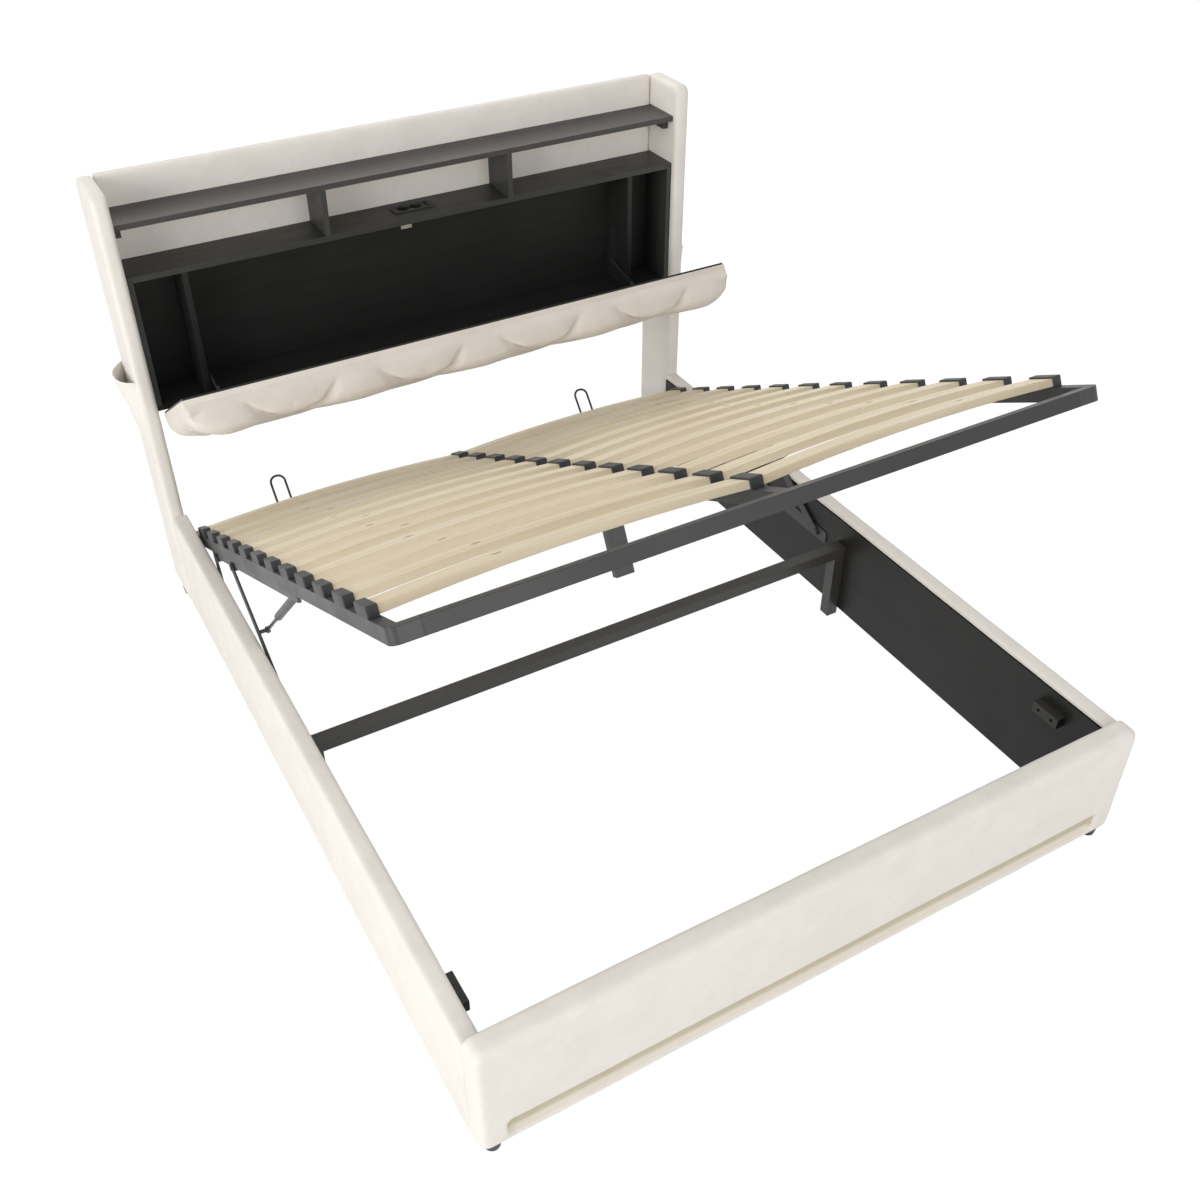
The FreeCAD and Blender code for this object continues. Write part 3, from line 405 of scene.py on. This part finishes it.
grain_x, grain_y, grain_z = (0.06, 1.0, 1.0), (1.0, 0.06, 1.0), (1.0, 1.0, 0.06)
panel_black = foiled("rail_board_foil", linear(34, 33, 32), grain_y, specular=0.2)
paint(["left_rail_board", "right_rail_board"], panel_black)
paint(["footboard_board"], foiled("footboard_board_foil", linear(43, 42, 40), grain_x, specular=0.2))


# Side rails
# Each rail is a board with thin foam on its outside and over its top, under the same cream velour,
# which is stapled inside. The rail is bolted to the footboard and to the wing.
rail_gap, rail_reach, rail_round = 0.0004, 0.004, 0.010
for side in ("left", "right"):
    low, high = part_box(side + "_rail_cover")
    inner_low, inner_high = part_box(side + "_rail_board")
    outward = -1 if side == "left" else 1
    inside = high.x if side == "left" else low.x
    outside = low.x if side == "left" else high.x
    skin_face = inner_low.x - rail_gap if side == "left" else inner_high.x + rail_gap
    rail = new_block(
        side + "_rail_upholstery",
        (min(outside, skin_face), low.y - rail_reach, low.z),
        (max(outside, skin_face), high.y + rail_reach, high.z),
    )
    bpy.ops.object.mode_set(mode="EDIT")
    bpy.ops.mesh.select_all(action="SELECT")
    bpy.ops.mesh.bisect(plane_co=(0, 0, inner_high.z + rail_gap), plane_no=(0, 0, 1))
    bpy.ops.object.mode_set(mode="OBJECT")
    pick_faces(rail, lambda spot, normal: normal.x * outward < -0.9 and spot.z > inner_high.z)
    bpy.ops.mesh.extrude_region_move(TRANSFORM_OT_translate={"value": (inside - skin_face, 0, 0)})
    bpy.ops.object.mode_set(mode="OBJECT")
    round_edges(
        rail,
        rail_round,
        4,
        lambda a, b: abs(a.x - outside) < 1e-5 and abs(b.x - outside) < 1e-5 and abs(a.y - b.y) > 0.1
        and (a.z > high.z - 1e-4 or a.z < low.z + 1e-4),
    )
    upholster(rail, voxel=0.005, swell=0.0022, ripple=0.0010)
    rail.data.materials.append(cream)
    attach(rail, "base")
    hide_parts(side + "_rail_cover")


# Corner bolts
# Steel bolts that draw the rails to the footboard and to the wings, zinc plated and a little dull.
zinc, start, end = new_effect(
    "plated_skin",
    [("Colour", "Color", (0.6, 0.6, 0.6, 1))],
    [("Colour", "Color"), ("Roughness", "Float"), ("Height", "Float")],
)
place = add_node(zinc, "TexCoord").outputs["Object"]
patch = noise(zinc, place, 90.0, 4.0)
scratch = noise(zinc, place, 700.0, 2.0)
dull = blend_colour(zinc, 1.0, start.outputs["Colour"], (0.72, 0.71, 0.69, 1), "MULTIPLY")
dulled = blend_colour(zinc, ramp(zinc, patch, 0.35, 0.7, 0.0, 0.8), start.outputs["Colour"], dull)
zinc.links.new(dulled, end.inputs["Colour"])
zinc.links.new(ramp(zinc, patch, 0.3, 0.7, 0.24, 0.42), end.inputs["Roughness"])
zinc.links.new(scratch, end.inputs["Height"])


def plated(name, colour):
    """Zinc-plated steel: bright metal with dull patches and fine scratches."""
    material, tree, shader = new_finish(name)
    skin = add_node(tree, "Group", {"Colour": colour}, node_tree=zinc)
    dress(tree, shader, skin, strength=0.06, depth=0.0003)
    shader.inputs["Metallic"].default_value = 1.0
    return material


bright_zinc = plated("bright_zinc", linear(196, 196, 194))
paint(["corner_bolts"], bright_zinc)


# Headboard wings
# Two upright padded boards that carry the headboard, with generous round corners,
# covered in the cream velour with the seam hidden at the back edge.
wing_corner, wing_edge = 0.024, 0.010
for side in ("left", "right"):
    low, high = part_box(side + "_wing")
    wing = new_block(side + "_wing_upholstery", low, high)
    round_edges(wing, wing_corner, 6, lambda a, b: abs(a.y - b.y) < 1e-5 and abs(a.z - b.z) < 1e-5)
    round_edges(wing, wing_edge, 4, lambda a, b: min(a.x, b.x) > high.x - 1e-4)
    round_edges(wing, wing_edge, 4, lambda a, b: max(a.x, b.x) < low.x + 1e-4)
    upholster(wing, voxel=0.005, swell=0.0022, ripple=0.0011)
    wing.data.materials.append(cream)
    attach(wing, "base")
    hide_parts(side + "_wing")


# Headboard back
# A wide padded panel between the wings, its top edge round, with the velour smooth in front and behind.
low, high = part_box("headboard_back")
wing_gap, back_round = 0.0008, 0.012
back = new_block(
    "headboard_back_upholstery", (low.x + wing_gap, low.y, low.z), (high.x - wing_gap, high.y, high.z)
)
round_edges(back, back_round, 5, lambda a, b: abs(a.x - b.x) > 0.5 and a.z > high.z - 1e-4)
upholster(back, voxel=0.0065, swell=0.0018, ripple=0.0010)
back.data.materials.append(cream)
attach(back, "base")
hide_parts("headboard_back")


# Side pockets
# A pocket of the same velour is sewn down both sides and along its foot on each wing's outer face.
# Its mouth stands open under a turned hem.
pocket_wide, pocket_tall, pocket_cloth = 0.150, 0.200, 0.0028
seam_sink, seam_inset, mouth_drop = 0.003, 0.002, 0.001
foot_gape, mouth_gape, mouth_sag, cloth_slack = 0.003, 0.037, 0.006, 0.0022
hem_share, hem_rise = 0.075, 0.0016
for side in ("left", "right"):
    low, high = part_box(side + "_side_pocket")
    outward = -1 if side == "left" else 1
    face_x = high.x if side == "left" else low.x
    middle_y = (low.y + high.y) / 2
    bare()
    bpy.ops.mesh.primitive_grid_add(x_subdivisions=28, y_subdivisions=36, size=1)
    pocket = bpy.context.object
    pocket.name = pocket.data.name = side + "_pocket_cloth"
    for point in pocket.data.vertices:
        across_share = point.co.x * 2
        down_share = 0.5 - point.co.y
        bow = max(0.0, 1 - abs(across_share) ** 2.6)
        gape = foot_gape + mouth_gape * (1 - down_share) ** 0.85
        slack = cloth_slack * math.sin(down_share * 9.0 + across_share * 2.0) * bow
        hem = hem_rise if down_share < hem_share else 0.0
        sag = mouth_sag * bow * (1 - down_share) ** 3
        x = face_x + outward * (gape * bow + slack + hem - seam_sink)
        y = middle_y + across_share * (pocket_wide / 2 - seam_inset)
        z = high.z - mouth_drop - sag - down_share * (pocket_tall - seam_inset)
        point.co = (x, y, z)
    bpy.ops.object.mode_set(mode="EDIT")
    bpy.ops.mesh.select_all(action="SELECT")
    bpy.ops.mesh.normals_make_consistent(inside=False)
    bpy.ops.object.mode_set(mode="OBJECT")
    apply_modifier(pocket, "SOLIDIFY", thickness=pocket_cloth, offset=0.0)
    apply_modifier(pocket, "SUBSURF", levels=1, render_levels=1)
    smooth_shaded(pocket)
    pocket.data.materials.append(cream)
    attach(pocket, "base")
    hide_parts(side + "_side_pocket")


# Headboard cabinet
# Shelves, uprights, dividers and sides of near-black foiled board, dowelled and screwed together,
# with a thin back board, all between the wings.
# The one near-black foil gets a separate tone per piece. The bottom, back and dividers inside are darker, as
# painted shade, and the shelf, top, sides and uprights are paler, as painted light.
shelf_foil = foiled("shelf_foil", linear(63, 62, 61), grain_x, specular=0.35)
inner_shaded_foil = foiled("cabinet_shaded_foil", linear(38, 38, 37), grain_x, specular=0.25)
upright_foil = foiled("upright_foil", linear(56, 56, 54), grain_z, specular=0.35)
paint(["upper_shelf"], shelf_foil)
paint(["cabinet_top"], foiled("cabinet_top_foil", linear(52, 52, 50), grain_x, specular=0.35))
paint(["cabinet_bottom", "cabinet_back"], inner_shaded_foil)
paint(["shelf_uprights"], upright_foil)
side_foil = foiled("cabinet_side_foil", linear(58, 58, 57), grain_z, specular=0.3)
paint(["left_cabinet_side", "right_cabinet_side"], side_foil)
divider_shaded_foil = foiled("divider_shaded_foil", linear(36, 36, 35), grain_z, specular=0.25)
paint(["left_cabinet_divider", "right_cabinet_divider"], divider_shaded_foil)
paint(["shelf_brackets"], moulded("bracket_plastic", linear(44, 44, 44)))


# Power socket
# A black moulded strip let into the cabinet top, with two round outlets and a double charging port.
paint(["socket_housing"], moulded("socket_plastic", linear(30, 31, 32), grain=0.5, edge=0.0008))
paint(["socket_inserts"], moulded("outlet_plastic", linear(14, 14, 15), grain=0.4, edge=0.0006))


# Flap hardware
# Bright steel hinges along the flap's foot and a plated catch under the cabinet top,
# and a black stay with its slotted track at each divider.
film, start, end = new_effect(
    "powder_coat",
    [("Colour", "Color", (0.05, 0.05, 0.05, 1)), ("Edge", "Float", 0.0)],
    [("Colour", "Color"), ("Roughness", "Float"), ("Height", "Float")],
)
place = add_node(film, "TexCoord").outputs["Object"]
peel = noise(film, place, 620.0, 2.0)
cast = noise(film, place, 6.0, 4.0)
rubbed = blend_colour(film, 1.0, start.outputs["Colour"], (1.5, 1.5, 1.5, 1), "MULTIPLY")
shifted = blend_colour(film, 1.0, start.outputs["Colour"], (1.15, 1.15, 1.15, 1), "MULTIPLY")
cloudy = blend_colour(film, ramp(film, cast, 0.35, 0.7, 0.0, 1.0), start.outputs["Colour"], shifted)
film.links.new(blend_colour(film, start.outputs["Edge"], cloudy, rubbed), end.inputs["Colour"])
film.links.new(ramp(film, cast, 0.3, 0.7, 0.36, 0.5), end.inputs["Roughness"])
film.links.new(peel, end.inputs["Height"])


def coated(name, colour, edge_radius=0.0022, specular=0.5):
    """Powder-coated steel: a fine orange peel, edges round and rubbed a little paler."""
    material, tree, shader = new_finish(name)
    soft, edge = edge_mask(tree, edge_radius)
    inputs = {"Colour": colour, "Edge": sums(tree, "MULTIPLY", edge, 0.45)}
    skin = add_node(tree, "Group", inputs, node_tree=film)
    dress(tree, shader, skin, strength=0.1, depth=0.0004, normal=soft)
    shader.inputs["Specular IOR Level"].default_value = specular
    return material


link_black = coated("link_coat", linear(44, 45, 46), edge_radius=0.0012)
paint(["flap_catch", "hinge_fixed_leaves", "hinge_moving_leaves"], bright_zinc)
paint(["stay_tracks", "stay_arms", "stay_lugs"], link_black)
paint(["flap_board"], foiled("flap_foil", linear(30, 30, 30), grain_x, specular=0.25))


# Flap cushion
# A thick foam cushion on the flap's outer face, quilted in large scales: each seam is an arc that
# dips towards the hinge, and the cloth swells between the seams and rolls over the free edge.
# It is shaped on the shut flap and then turned out to where the flap stands in the photograph.
hinge = Vector((0, 0.928, 0.6556))
fold_angle = math.radians(58.0)
opened = Matrix.Translation(hinge) @ Matrix.Rotation(fold_angle, 4, "X") @ Matrix.Translation(-hinge)
cushion_half, cushion_back, cushion_low, cushion_high = 0.8036, 0.9118, 0.6625, 1.0272
seam_height, crown_rise, edge_roll, end_round, cushion_voxel = 0.063, 0.036, 0.016, 0.006, 0.0042
face_y = cushion_back - seam_height
scale_rows, scales_across, quilt_width = 4, 4.5, 1.608
scale_pitch = quilt_width / scales_across
scale_radius = scale_pitch / 2
first_row = cushion_high + math.sqrt(scale_radius ** 2 - (scale_pitch / 4) ** 2)


def unrolled(y, level):
    """How far up the cloth a point lies: along the face, then over the rolled free edge."""
    turn_y, turn_level = face_y + edge_roll, cushion_high - edge_roll
    if level <= turn_level:
        return level
    if y >= turn_y:
        return turn_level + edge_roll * math.pi / 2 + y - turn_y
    return turn_level + edge_roll * math.atan2(level - turn_level, turn_y - y)


def seam_at(x, level):
    """How far a point on the cloth lies from the nearest quilting seam."""
    gap = scale_radius
    arc_overrun = 0.004
    for row in range(scale_rows):
        shift = (row % 2 + 1) * scale_pitch / 2
        nearest = round((x - shift) / scale_pitch)
        for column in (nearest - 1, nearest, nearest + 1):
            dx, dz = x - column * scale_pitch - shift, level - first_row + row * scale_radius
            if dz < arc_overrun:
                gap = min(gap, abs(math.hypot(dx, dz) - scale_radius))
    return gap


def stepped(distance, reach):
    """A share that grows from 0 to 1 over a reach."""
    return min(1.0, max(0.0, distance / reach))


cushion = new_block(
    "flap_cushion_cover", (-cushion_half, face_y, cushion_low), (cushion_half, cushion_back, cushion_high)
)
round_edges(cushion, end_round, 3, lambda a, b: abs(a.x - b.x) < 1e-5 and abs(a.z - b.z) < 1e-5)
round_edges(cushion, edge_roll, 5, lambda a, b: max(a.y, b.y) < (face_y + cushion_back) / 2)
apply_modifier(cushion, "REMESH", mode="VOXEL", voxel_size=cushion_voxel, use_smooth_shade=True)
board_reach, hinge_reach, end_reach, lobe_reach, stitch_reach = 0.055, 0.045, 0.100, 0.075, 0.012
crease_length, crease_fade, face_turn, swell_fade, stitch_half = 0.042, 0.022, 0.040, 0.16, 0.003
end_share, low_swell_share, lobe_share, front_share, edge_share = 0.45, 0.45, 0.6, 0.9, 0.4
seam_share, board_share = 0.9, 0.12
held_points = []
leans = [Vector((0, point.normal.y, point.normal.z)) for point in cushion.data.vertices]
for point, lean in zip(cushion.data.vertices, leans):
    x, y, level = point.co
    gap = seam_at(x, unrolled(y, level))
    off_board = min(1.0, (cushion_back - y) / board_reach)
    off_hinge = stepped(level - cushion_low, hinge_reach)
    off_end = stepped(cushion_half - abs(x), end_reach)
    thinned = end_share + (1 - end_share) * math.sqrt(1 - (1 - off_end) ** 2)
    sewn = stepped(face_y + crease_length - y, crease_fade)
    near_edge = max(low_swell_share, 1 - (cushion_high - level) / swell_fade)
    lobe = math.sqrt(1 - (1 - min(gap / lobe_reach, 1.0)) ** 2)
    groove = lobe_share * lobe + (1 - lobe_share) * min(gap / stitch_reach, 1.0)
    rise = crown_rise * near_edge * (1 - sewn * (1 - groove)) * off_board ** 2 * math.sqrt(off_hinge)
    off_face = stepped(y - face_y, face_turn)
    forward = min(lean.y, -front_share * (1 - off_face))
    upward = lean.z * (edge_share + (1 - edge_share) * off_face)
    if gap < stitch_half and off_board > seam_share or off_board < board_share:
        held_points.append(point.index)
    point.co += Vector((0, forward, upward)) * rise
    point.co.y = cushion_back - (cushion_back - point.co.y) * thinned
steps, furthest = 10, 0.006
pinned = cushion.vertex_groups.new(name="sewn")
pinned.add(held_points, 1.0, "REPLACE")
before = [v.co.copy() for v in cushion.data.vertices]
take(cushion)
cloth = cushion.modifiers.new("cloth", "CLOTH")
cloth.settings.quality = 4
cloth.settings.mass = 0.25
cloth.settings.tension_stiffness = 18
cloth.settings.compression_stiffness = 10
cloth.settings.shear_stiffness = 6
cloth.settings.bending_stiffness = 0.6
cloth.settings.use_pressure = True
cloth.settings.uniform_pressure_force = 4.0
cloth.settings.vertex_group_mass = "sewn"
cloth.settings.effector_weights.gravity = 0.0
cloth.collision_settings.use_collision = False
cloth.point_cache.frame_start = 1
cloth.point_cache.frame_end = steps
for step in range(1, steps + 1):
    bpy.context.scene.frame_set(step)
bpy.ops.object.modifier_apply(modifier="cloth")
bpy.context.scene.frame_set(1)
for point, old in zip(cushion.data.vertices, before):
    move = point.co - old
    if move.length > furthest:
        point.co = old + move * (furthest / move.length)
    point.co.y = min(point.co.y, cushion_back)
apply_modifier(cushion, "SMOOTH", factor=0.3, iterations=1)
hem_front, hem_back, hem_half, hem_top = 0.900, 0.9218, 0.8012, 1.0246
cover_edge = new_block(
    "cover_edge", (-cushion_half, hem_front, cushion_low), (cushion_half, hem_back, cushion_high)
)
edge_tool = new_block(
    "edge_tool",
    (-hem_half, hem_front - overrun, cushion_low - overrun),
    (hem_half, hem_back + overrun, hem_top),
)
apply_modifier(cover_edge, "BOOLEAN", operation="DIFFERENCE", object=edge_tool, solver="EXACT")
bpy.data.objects.remove(edge_tool)
apply_modifier(cover_edge, "BEVEL", width=0.0009, segments=2, limit_method="ANGLE")
take(cushion)
cover_edge.select_set(True)
bpy.ops.object.join()
cushion.data.transform(opened)
smooth_shaded(cushion)
# The cushion gets a darker copy of the cream velour, as painted shade on its down-facing free edge.
cushion.data.materials.append(
    velour_finish("cushion_shaded_velour", linear(223, 216, 206), linear(215, 207, 196), cloud=0.8)
)
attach(cushion, "flap")
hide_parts("flap_cushion")


# Rest blocks and cross bar
# Dark blocks screwed inside the rails carry the closed lift frame at its foot end.
# A steel tube across the middle of the bed, on two legs, stiffens the rails.
paint(["rest_blocks"], foiled("block_foil", linear(48, 47, 45), grain_y, specular=0.25))
bar_coat = coated("cross_bar_coat", linear(58, 57, 55), edge_radius=0.0022, specular=0.4)
paint(["cross_bar", "cross_bar_legs"], bar_coat)


# Lift mechanism
# Pressed steel plates, links and bars in dark powder coat, riveted at their eyes,
# with a gas strut on each side: a dark grey cylinder and rod.
paint(["left_mechanism_base", "right_mechanism_base"], link_black)
paint(["left_main_link", "right_main_link", "left_rear_link", "right_rear_link"], link_black)
paint(["left_lift_bar", "right_lift_bar"], coated("lift_bar_coat", linear(52, 53, 55), edge_radius=0.0014))
paint(["strut_cylinders"], coated("strut_coat", linear(62, 62, 62), edge_radius=0.001, specular=0.5))
paint(["strut_rods"], plated("strut_rod_steel", linear(110, 110, 110)))


# Lift frame
# Square steel tubes with a grey powder coat, joined by plugged corners and split by a centre tube.
# A drop leg hangs from its middle and two bent wires at its head end keep the mattress in place.
frame_grey = coated("frame_coat", linear(50, 50, 50), edge_radius=0.0022, specular=0.35)
paint(["left_side_tube", "right_side_tube", "foot_tube", "head_tube", "centre_tube"], frame_grey)
paint(["frame_corners"], coated("corner_coat", linear(56, 56, 56), edge_radius=0.003, specular=0.4))
paint(["centre_leg"], coated("leg_coat", linear(54, 54, 54)))
paint(["mattress_stops"], coated("wire_coat", linear(46, 46, 47), edge_radius=0.001))


# Slat holders
# Moulded grey-black plastic cups, riveted to the tubes, that hold the ends of the slats.
holder_plastic = moulded("holder_plastic", linear(46, 47, 47), grain=1.0, edge=0.0016)
paint(["left_slat_holders", "right_slat_holders"], holder_plastic)
paint(["centre_slat_holders"], moulded("centre_holder_plastic", linear(44, 45, 45), grain=1.0, edge=0.0016))


# Slats
# Bowed slats glued up from thin birch veneers, sanded and sealed: a pale straight grain along
# each slat, a small brown knot in each, edges where the plies show as fine lines.
frame_lean = math.radians(27.0)
frame_eye = (0.0, 0.430786, 0.453224)
eye_from_foot, slat_pitch, slat_first = 1.368959, 0.14659, 0.141
birch, start, end = new_effect(
    "birch_ply",
    [
        ("Colour", "Color", (0.7, 0.6, 0.42, 1)),
        ("Streak", "Color", (0.6, 0.48, 0.3, 1)),
        ("Knot", "Color", (0.3, 0.2, 0.1, 1)),
    ],
    [("Colour", "Color"), ("Roughness", "Float"), ("Height", "Float")],
)
place = add_node(birch, "TexCoord").outputs["Object"]
level = add_node(
    birch,
    "VectorRotate",
    {"Vector": place, "Center": frame_eye, "Angle": frame_lean},
    rotation_type="X_AXIS",
).outputs[0]
axes = add_node(birch, "SeparateXYZ", {0: level})
along = sums(birch, "ADD", axes.outputs["Y"], eye_from_foot - frame_eye[1] - slat_first + slat_pitch / 2)
row = sums(birch, "FLOOR", sums(birch, "DIVIDE", along, slat_pitch))
half = sums(birch, "MULTIPLY", sums(birch, "SIGN", axes.outputs["X"]), 40.0)
seed = sums(birch, "ADD", row, half)
jump_x, jump_z = sums(birch, "MULTIPLY", seed, 3.7), sums(birch, "MULTIPLY", seed, 1.3)
apart = add_node(birch, "CombineXYZ", {"X": jump_x, "Z": jump_z}).outputs[0]
own_tone = add_node(birch, "TexWhiteNoise", {"W": seed}, noise_dimensions="1D").outputs["Value"]
spot = add_node(birch, "VectorMath", {0: level, 1: apart}, operation="ADD").outputs[0]
drawn = add_node(birch, "VectorMath", {0: spot, 1: (0.035, 1.0, 0.5)}, operation="MULTIPLY").outputs[0]
broad = noise(birch, drawn, 55.0, 3.0, 0.5)
fibre = noise(birch, drawn, 520.0, 3.0, 0.6)
short = add_node(birch, "VectorMath", {0: spot, 1: (0.12, 1.0, 1.0)}, operation="MULTIPLY").outputs[0]
pores = noise(birch, short, 900.0, 1.0)
knot_place, knot_stray, knot_aside, knot_stretch = 0.565, 0.05, 0.006, 0.45
knot_core, knot_rim = 0.0025, 0.0065
draw = add_node(birch, "TexWhiteNoise", {"W": sums(birch, "ADD", seed, 7.5)}, noise_dimensions="1D")
stray = sums(birch, "MULTIPLY", draw.outputs["Value"], knot_stray)
knot_x = sums(birch, "ADD", sums(birch, "ABSOLUTE", axes.outputs["X"]), stray)
off_x = sums(birch, "MULTIPLY", sums(birch, "SUBTRACT", knot_x, knot_place), knot_stretch)
on_slat = sums(birch, "SUBTRACT", along, sums(birch, "MULTIPLY", row, slat_pitch))
off_y = sums(birch, "SUBTRACT", on_slat, slat_pitch / 2 + knot_aside)
reach = sums(birch, "ADD", sums(birch, "MULTIPLY", off_x, off_x), sums(birch, "MULTIPLY", off_y, off_y))
knot = ramp(birch, sums(birch, "SQRT", reach), knot_rim, knot_core, 0.0, 0.85)
plies = add_node(
    birch, "TexWave", {"Vector": level, "Scale": 260.0, "Distortion": 0.3}, bands_direction="Z"
).outputs["Fac"]
facing = add_node(
    birch,
    "VectorRotate",
    {"Vector": add_node(birch, "NewGeometry").outputs["Normal"], "Angle": frame_lean},
    rotation_type="X_AXIS",
).outputs[0]
upright = add_node(birch, "SeparateXYZ", {0: facing}).outputs["Z"]
on_edge = ramp(birch, sums(birch, "ABSOLUTE", upright), 0.75, 0.4, 0.0, 1.0)
streak = start.outputs["Streak"]
grain = blend_colour(birch, ramp(birch, broad, 0.4, 0.68, 0.0, 0.75), start.outputs["Colour"], streak)
fine_grain = blend_colour(birch, ramp(birch, fibre, 0.48, 0.72, 0.0, 0.35), grain, streak)
toned = blend_colour(birch, ramp(birch, own_tone, 0.0, 1.0, 0.0, 0.4), fine_grain, streak)
marked = blend_colour(birch, knot, toned, start.outputs["Knot"])
ply_lines = sums(birch, "MULTIPLY", on_edge, ramp(birch, plies, 0.4, 0.7, 0.0, 0.5))
edged = blend_colour(birch, ply_lines, marked, streak)
birch.links.new(edged, end.inputs["Colour"])
birch.links.new(ramp(birch, broad, 0.3, 0.7, 0.42, 0.56), end.inputs["Roughness"])
birch.links.new(sums(birch, "ADD", fibre, sums(birch, "MULTIPLY", pores, 0.4)), end.inputs["Height"])

slat_wood, tree, shader = new_finish("slat_birch")
tones = {"Colour": linear(233, 219, 192), "Streak": linear(220, 202, 170), "Knot": linear(126, 94, 62)}
skin = add_node(tree, "Group", tones, node_tree=birch)
soft = add_node(tree, "Bevel", {"Radius": 0.0016}, samples=6)
dress(tree, shader, skin, strength=0.08, depth=0.0004, normal=soft.outputs[0])
shader.inputs["Specular IOR Level"].default_value = 0.35
paint(["left_slats", "right_slats"], slat_wood)


# Studio
# A plain pale floor and even soft light from the left, the front and behind, as in the photograph.
# The camera stands above and beyond the left corner of the foot end.
def seen_rays(tree):
    """1 for rays that show the studio to the eye or in a gloss, and 0 for rays that light the bed."""
    path = add_node(tree, "LightPath")
    through = sums(tree, "MAXIMUM", path.outputs["Is Glossy Ray"], path.outputs["Is Transmission Ray"])
    return sums(tree, "MAXIMUM", path.outputs["Is Camera Ray"], through)


bare()
bpy.ops.mesh.primitive_plane_add(size=40, location=(0, 0, 0))
floor = bpy.context.object
floor.name = "studio_floor"
floor_finish = bpy.data.materials.new("studio_floor")
floor_finish.use_nodes = True
tree = floor_finish.node_tree
tree.nodes.clear()
paper = add_node(tree, "BsdfDiffuse", {"Color": (0.8, 0.8, 0.8, 1)})
shade_paper = add_node(tree, "BsdfDiffuse", {"Color": (0.1, 0.1, 0.1, 1)})
glow = add_node(tree, "Emission", {"Color": (1, 1, 1, 1), "Strength": 0.98})
lit = add_node(tree, "AddShader", {0: shade_paper.outputs[0], 1: glow.outputs[0]})
pick = add_node(tree, "MixShader", {0: seen_rays(tree), 1: paper.outputs[0], 2: lit.outputs[0]})
add_node(tree, "OutputMaterial", {0: pick.outputs[0]})
floor.data.materials.append(floor_finish)

world = bpy.data.worlds.new("studio_sky")
bpy.context.scene.world = world
world.use_nodes = True
tree = world.node_tree
tree.nodes.clear()
dim = add_node(tree, "Background", {"Color": (1, 1, 1, 1), "Strength": 0.5})
white = add_node(tree, "Background", {"Color": (1, 1, 1, 1), "Strength": 1.0})
pick = add_node(tree, "MixShader", {0: seen_rays(tree), 1: dim.outputs[0], 2: white.outputs[0]})
add_node(tree, "OutputWorld", {0: pick.outputs[0]})


def soft_box(name, spot, aim, wide, tall, power):
    """A large soft lamp that faces a point of the bed."""
    bare()
    bpy.ops.object.light_add(type="AREA", location=spot)
    lamp = bpy.context.object
    lamp.name = name
    lamp.data.shape = "RECTANGLE"
    lamp.data.size = wide
    lamp.data.size_y = tall
    lamp.data.energy = power
    lamp.rotation_euler = (Vector(aim) - Vector(spot)).to_track_quat("-Z", "Y").to_euler()


soft_box("left_light", (-5.5, -1.6, 2.2), (0, 0, 0.5), wide=4.0, tall=3.0, power=188)
soft_box("front_light", (0.4, -6.5, 2.6), (0, -0.4, 0.4), wide=5.0, tall=3.0, power=134)
soft_box("back_light", (0.5, 3.8, 4.6), (0, 0.2, 0.6), wide=4.0, tall=3.0, power=120)

bpy.ops.object.camera_add(
    location=(-1.2951, -2.3273, 2.4566),
    rotation=(math.radians(51.4389), math.radians(0.0683), math.radians(-29.7861)),
)
camera = bpy.context.object
camera.name = "photo_camera"
camera.data.lens = 38.8473
camera.data.sensor_width = 36
camera.data.sensor_fit = "AUTO"
camera.data.clip_end = 100
bpy.context.scene.camera = camera
bpy.context.scene.view_settings.view_transform = "Standard"
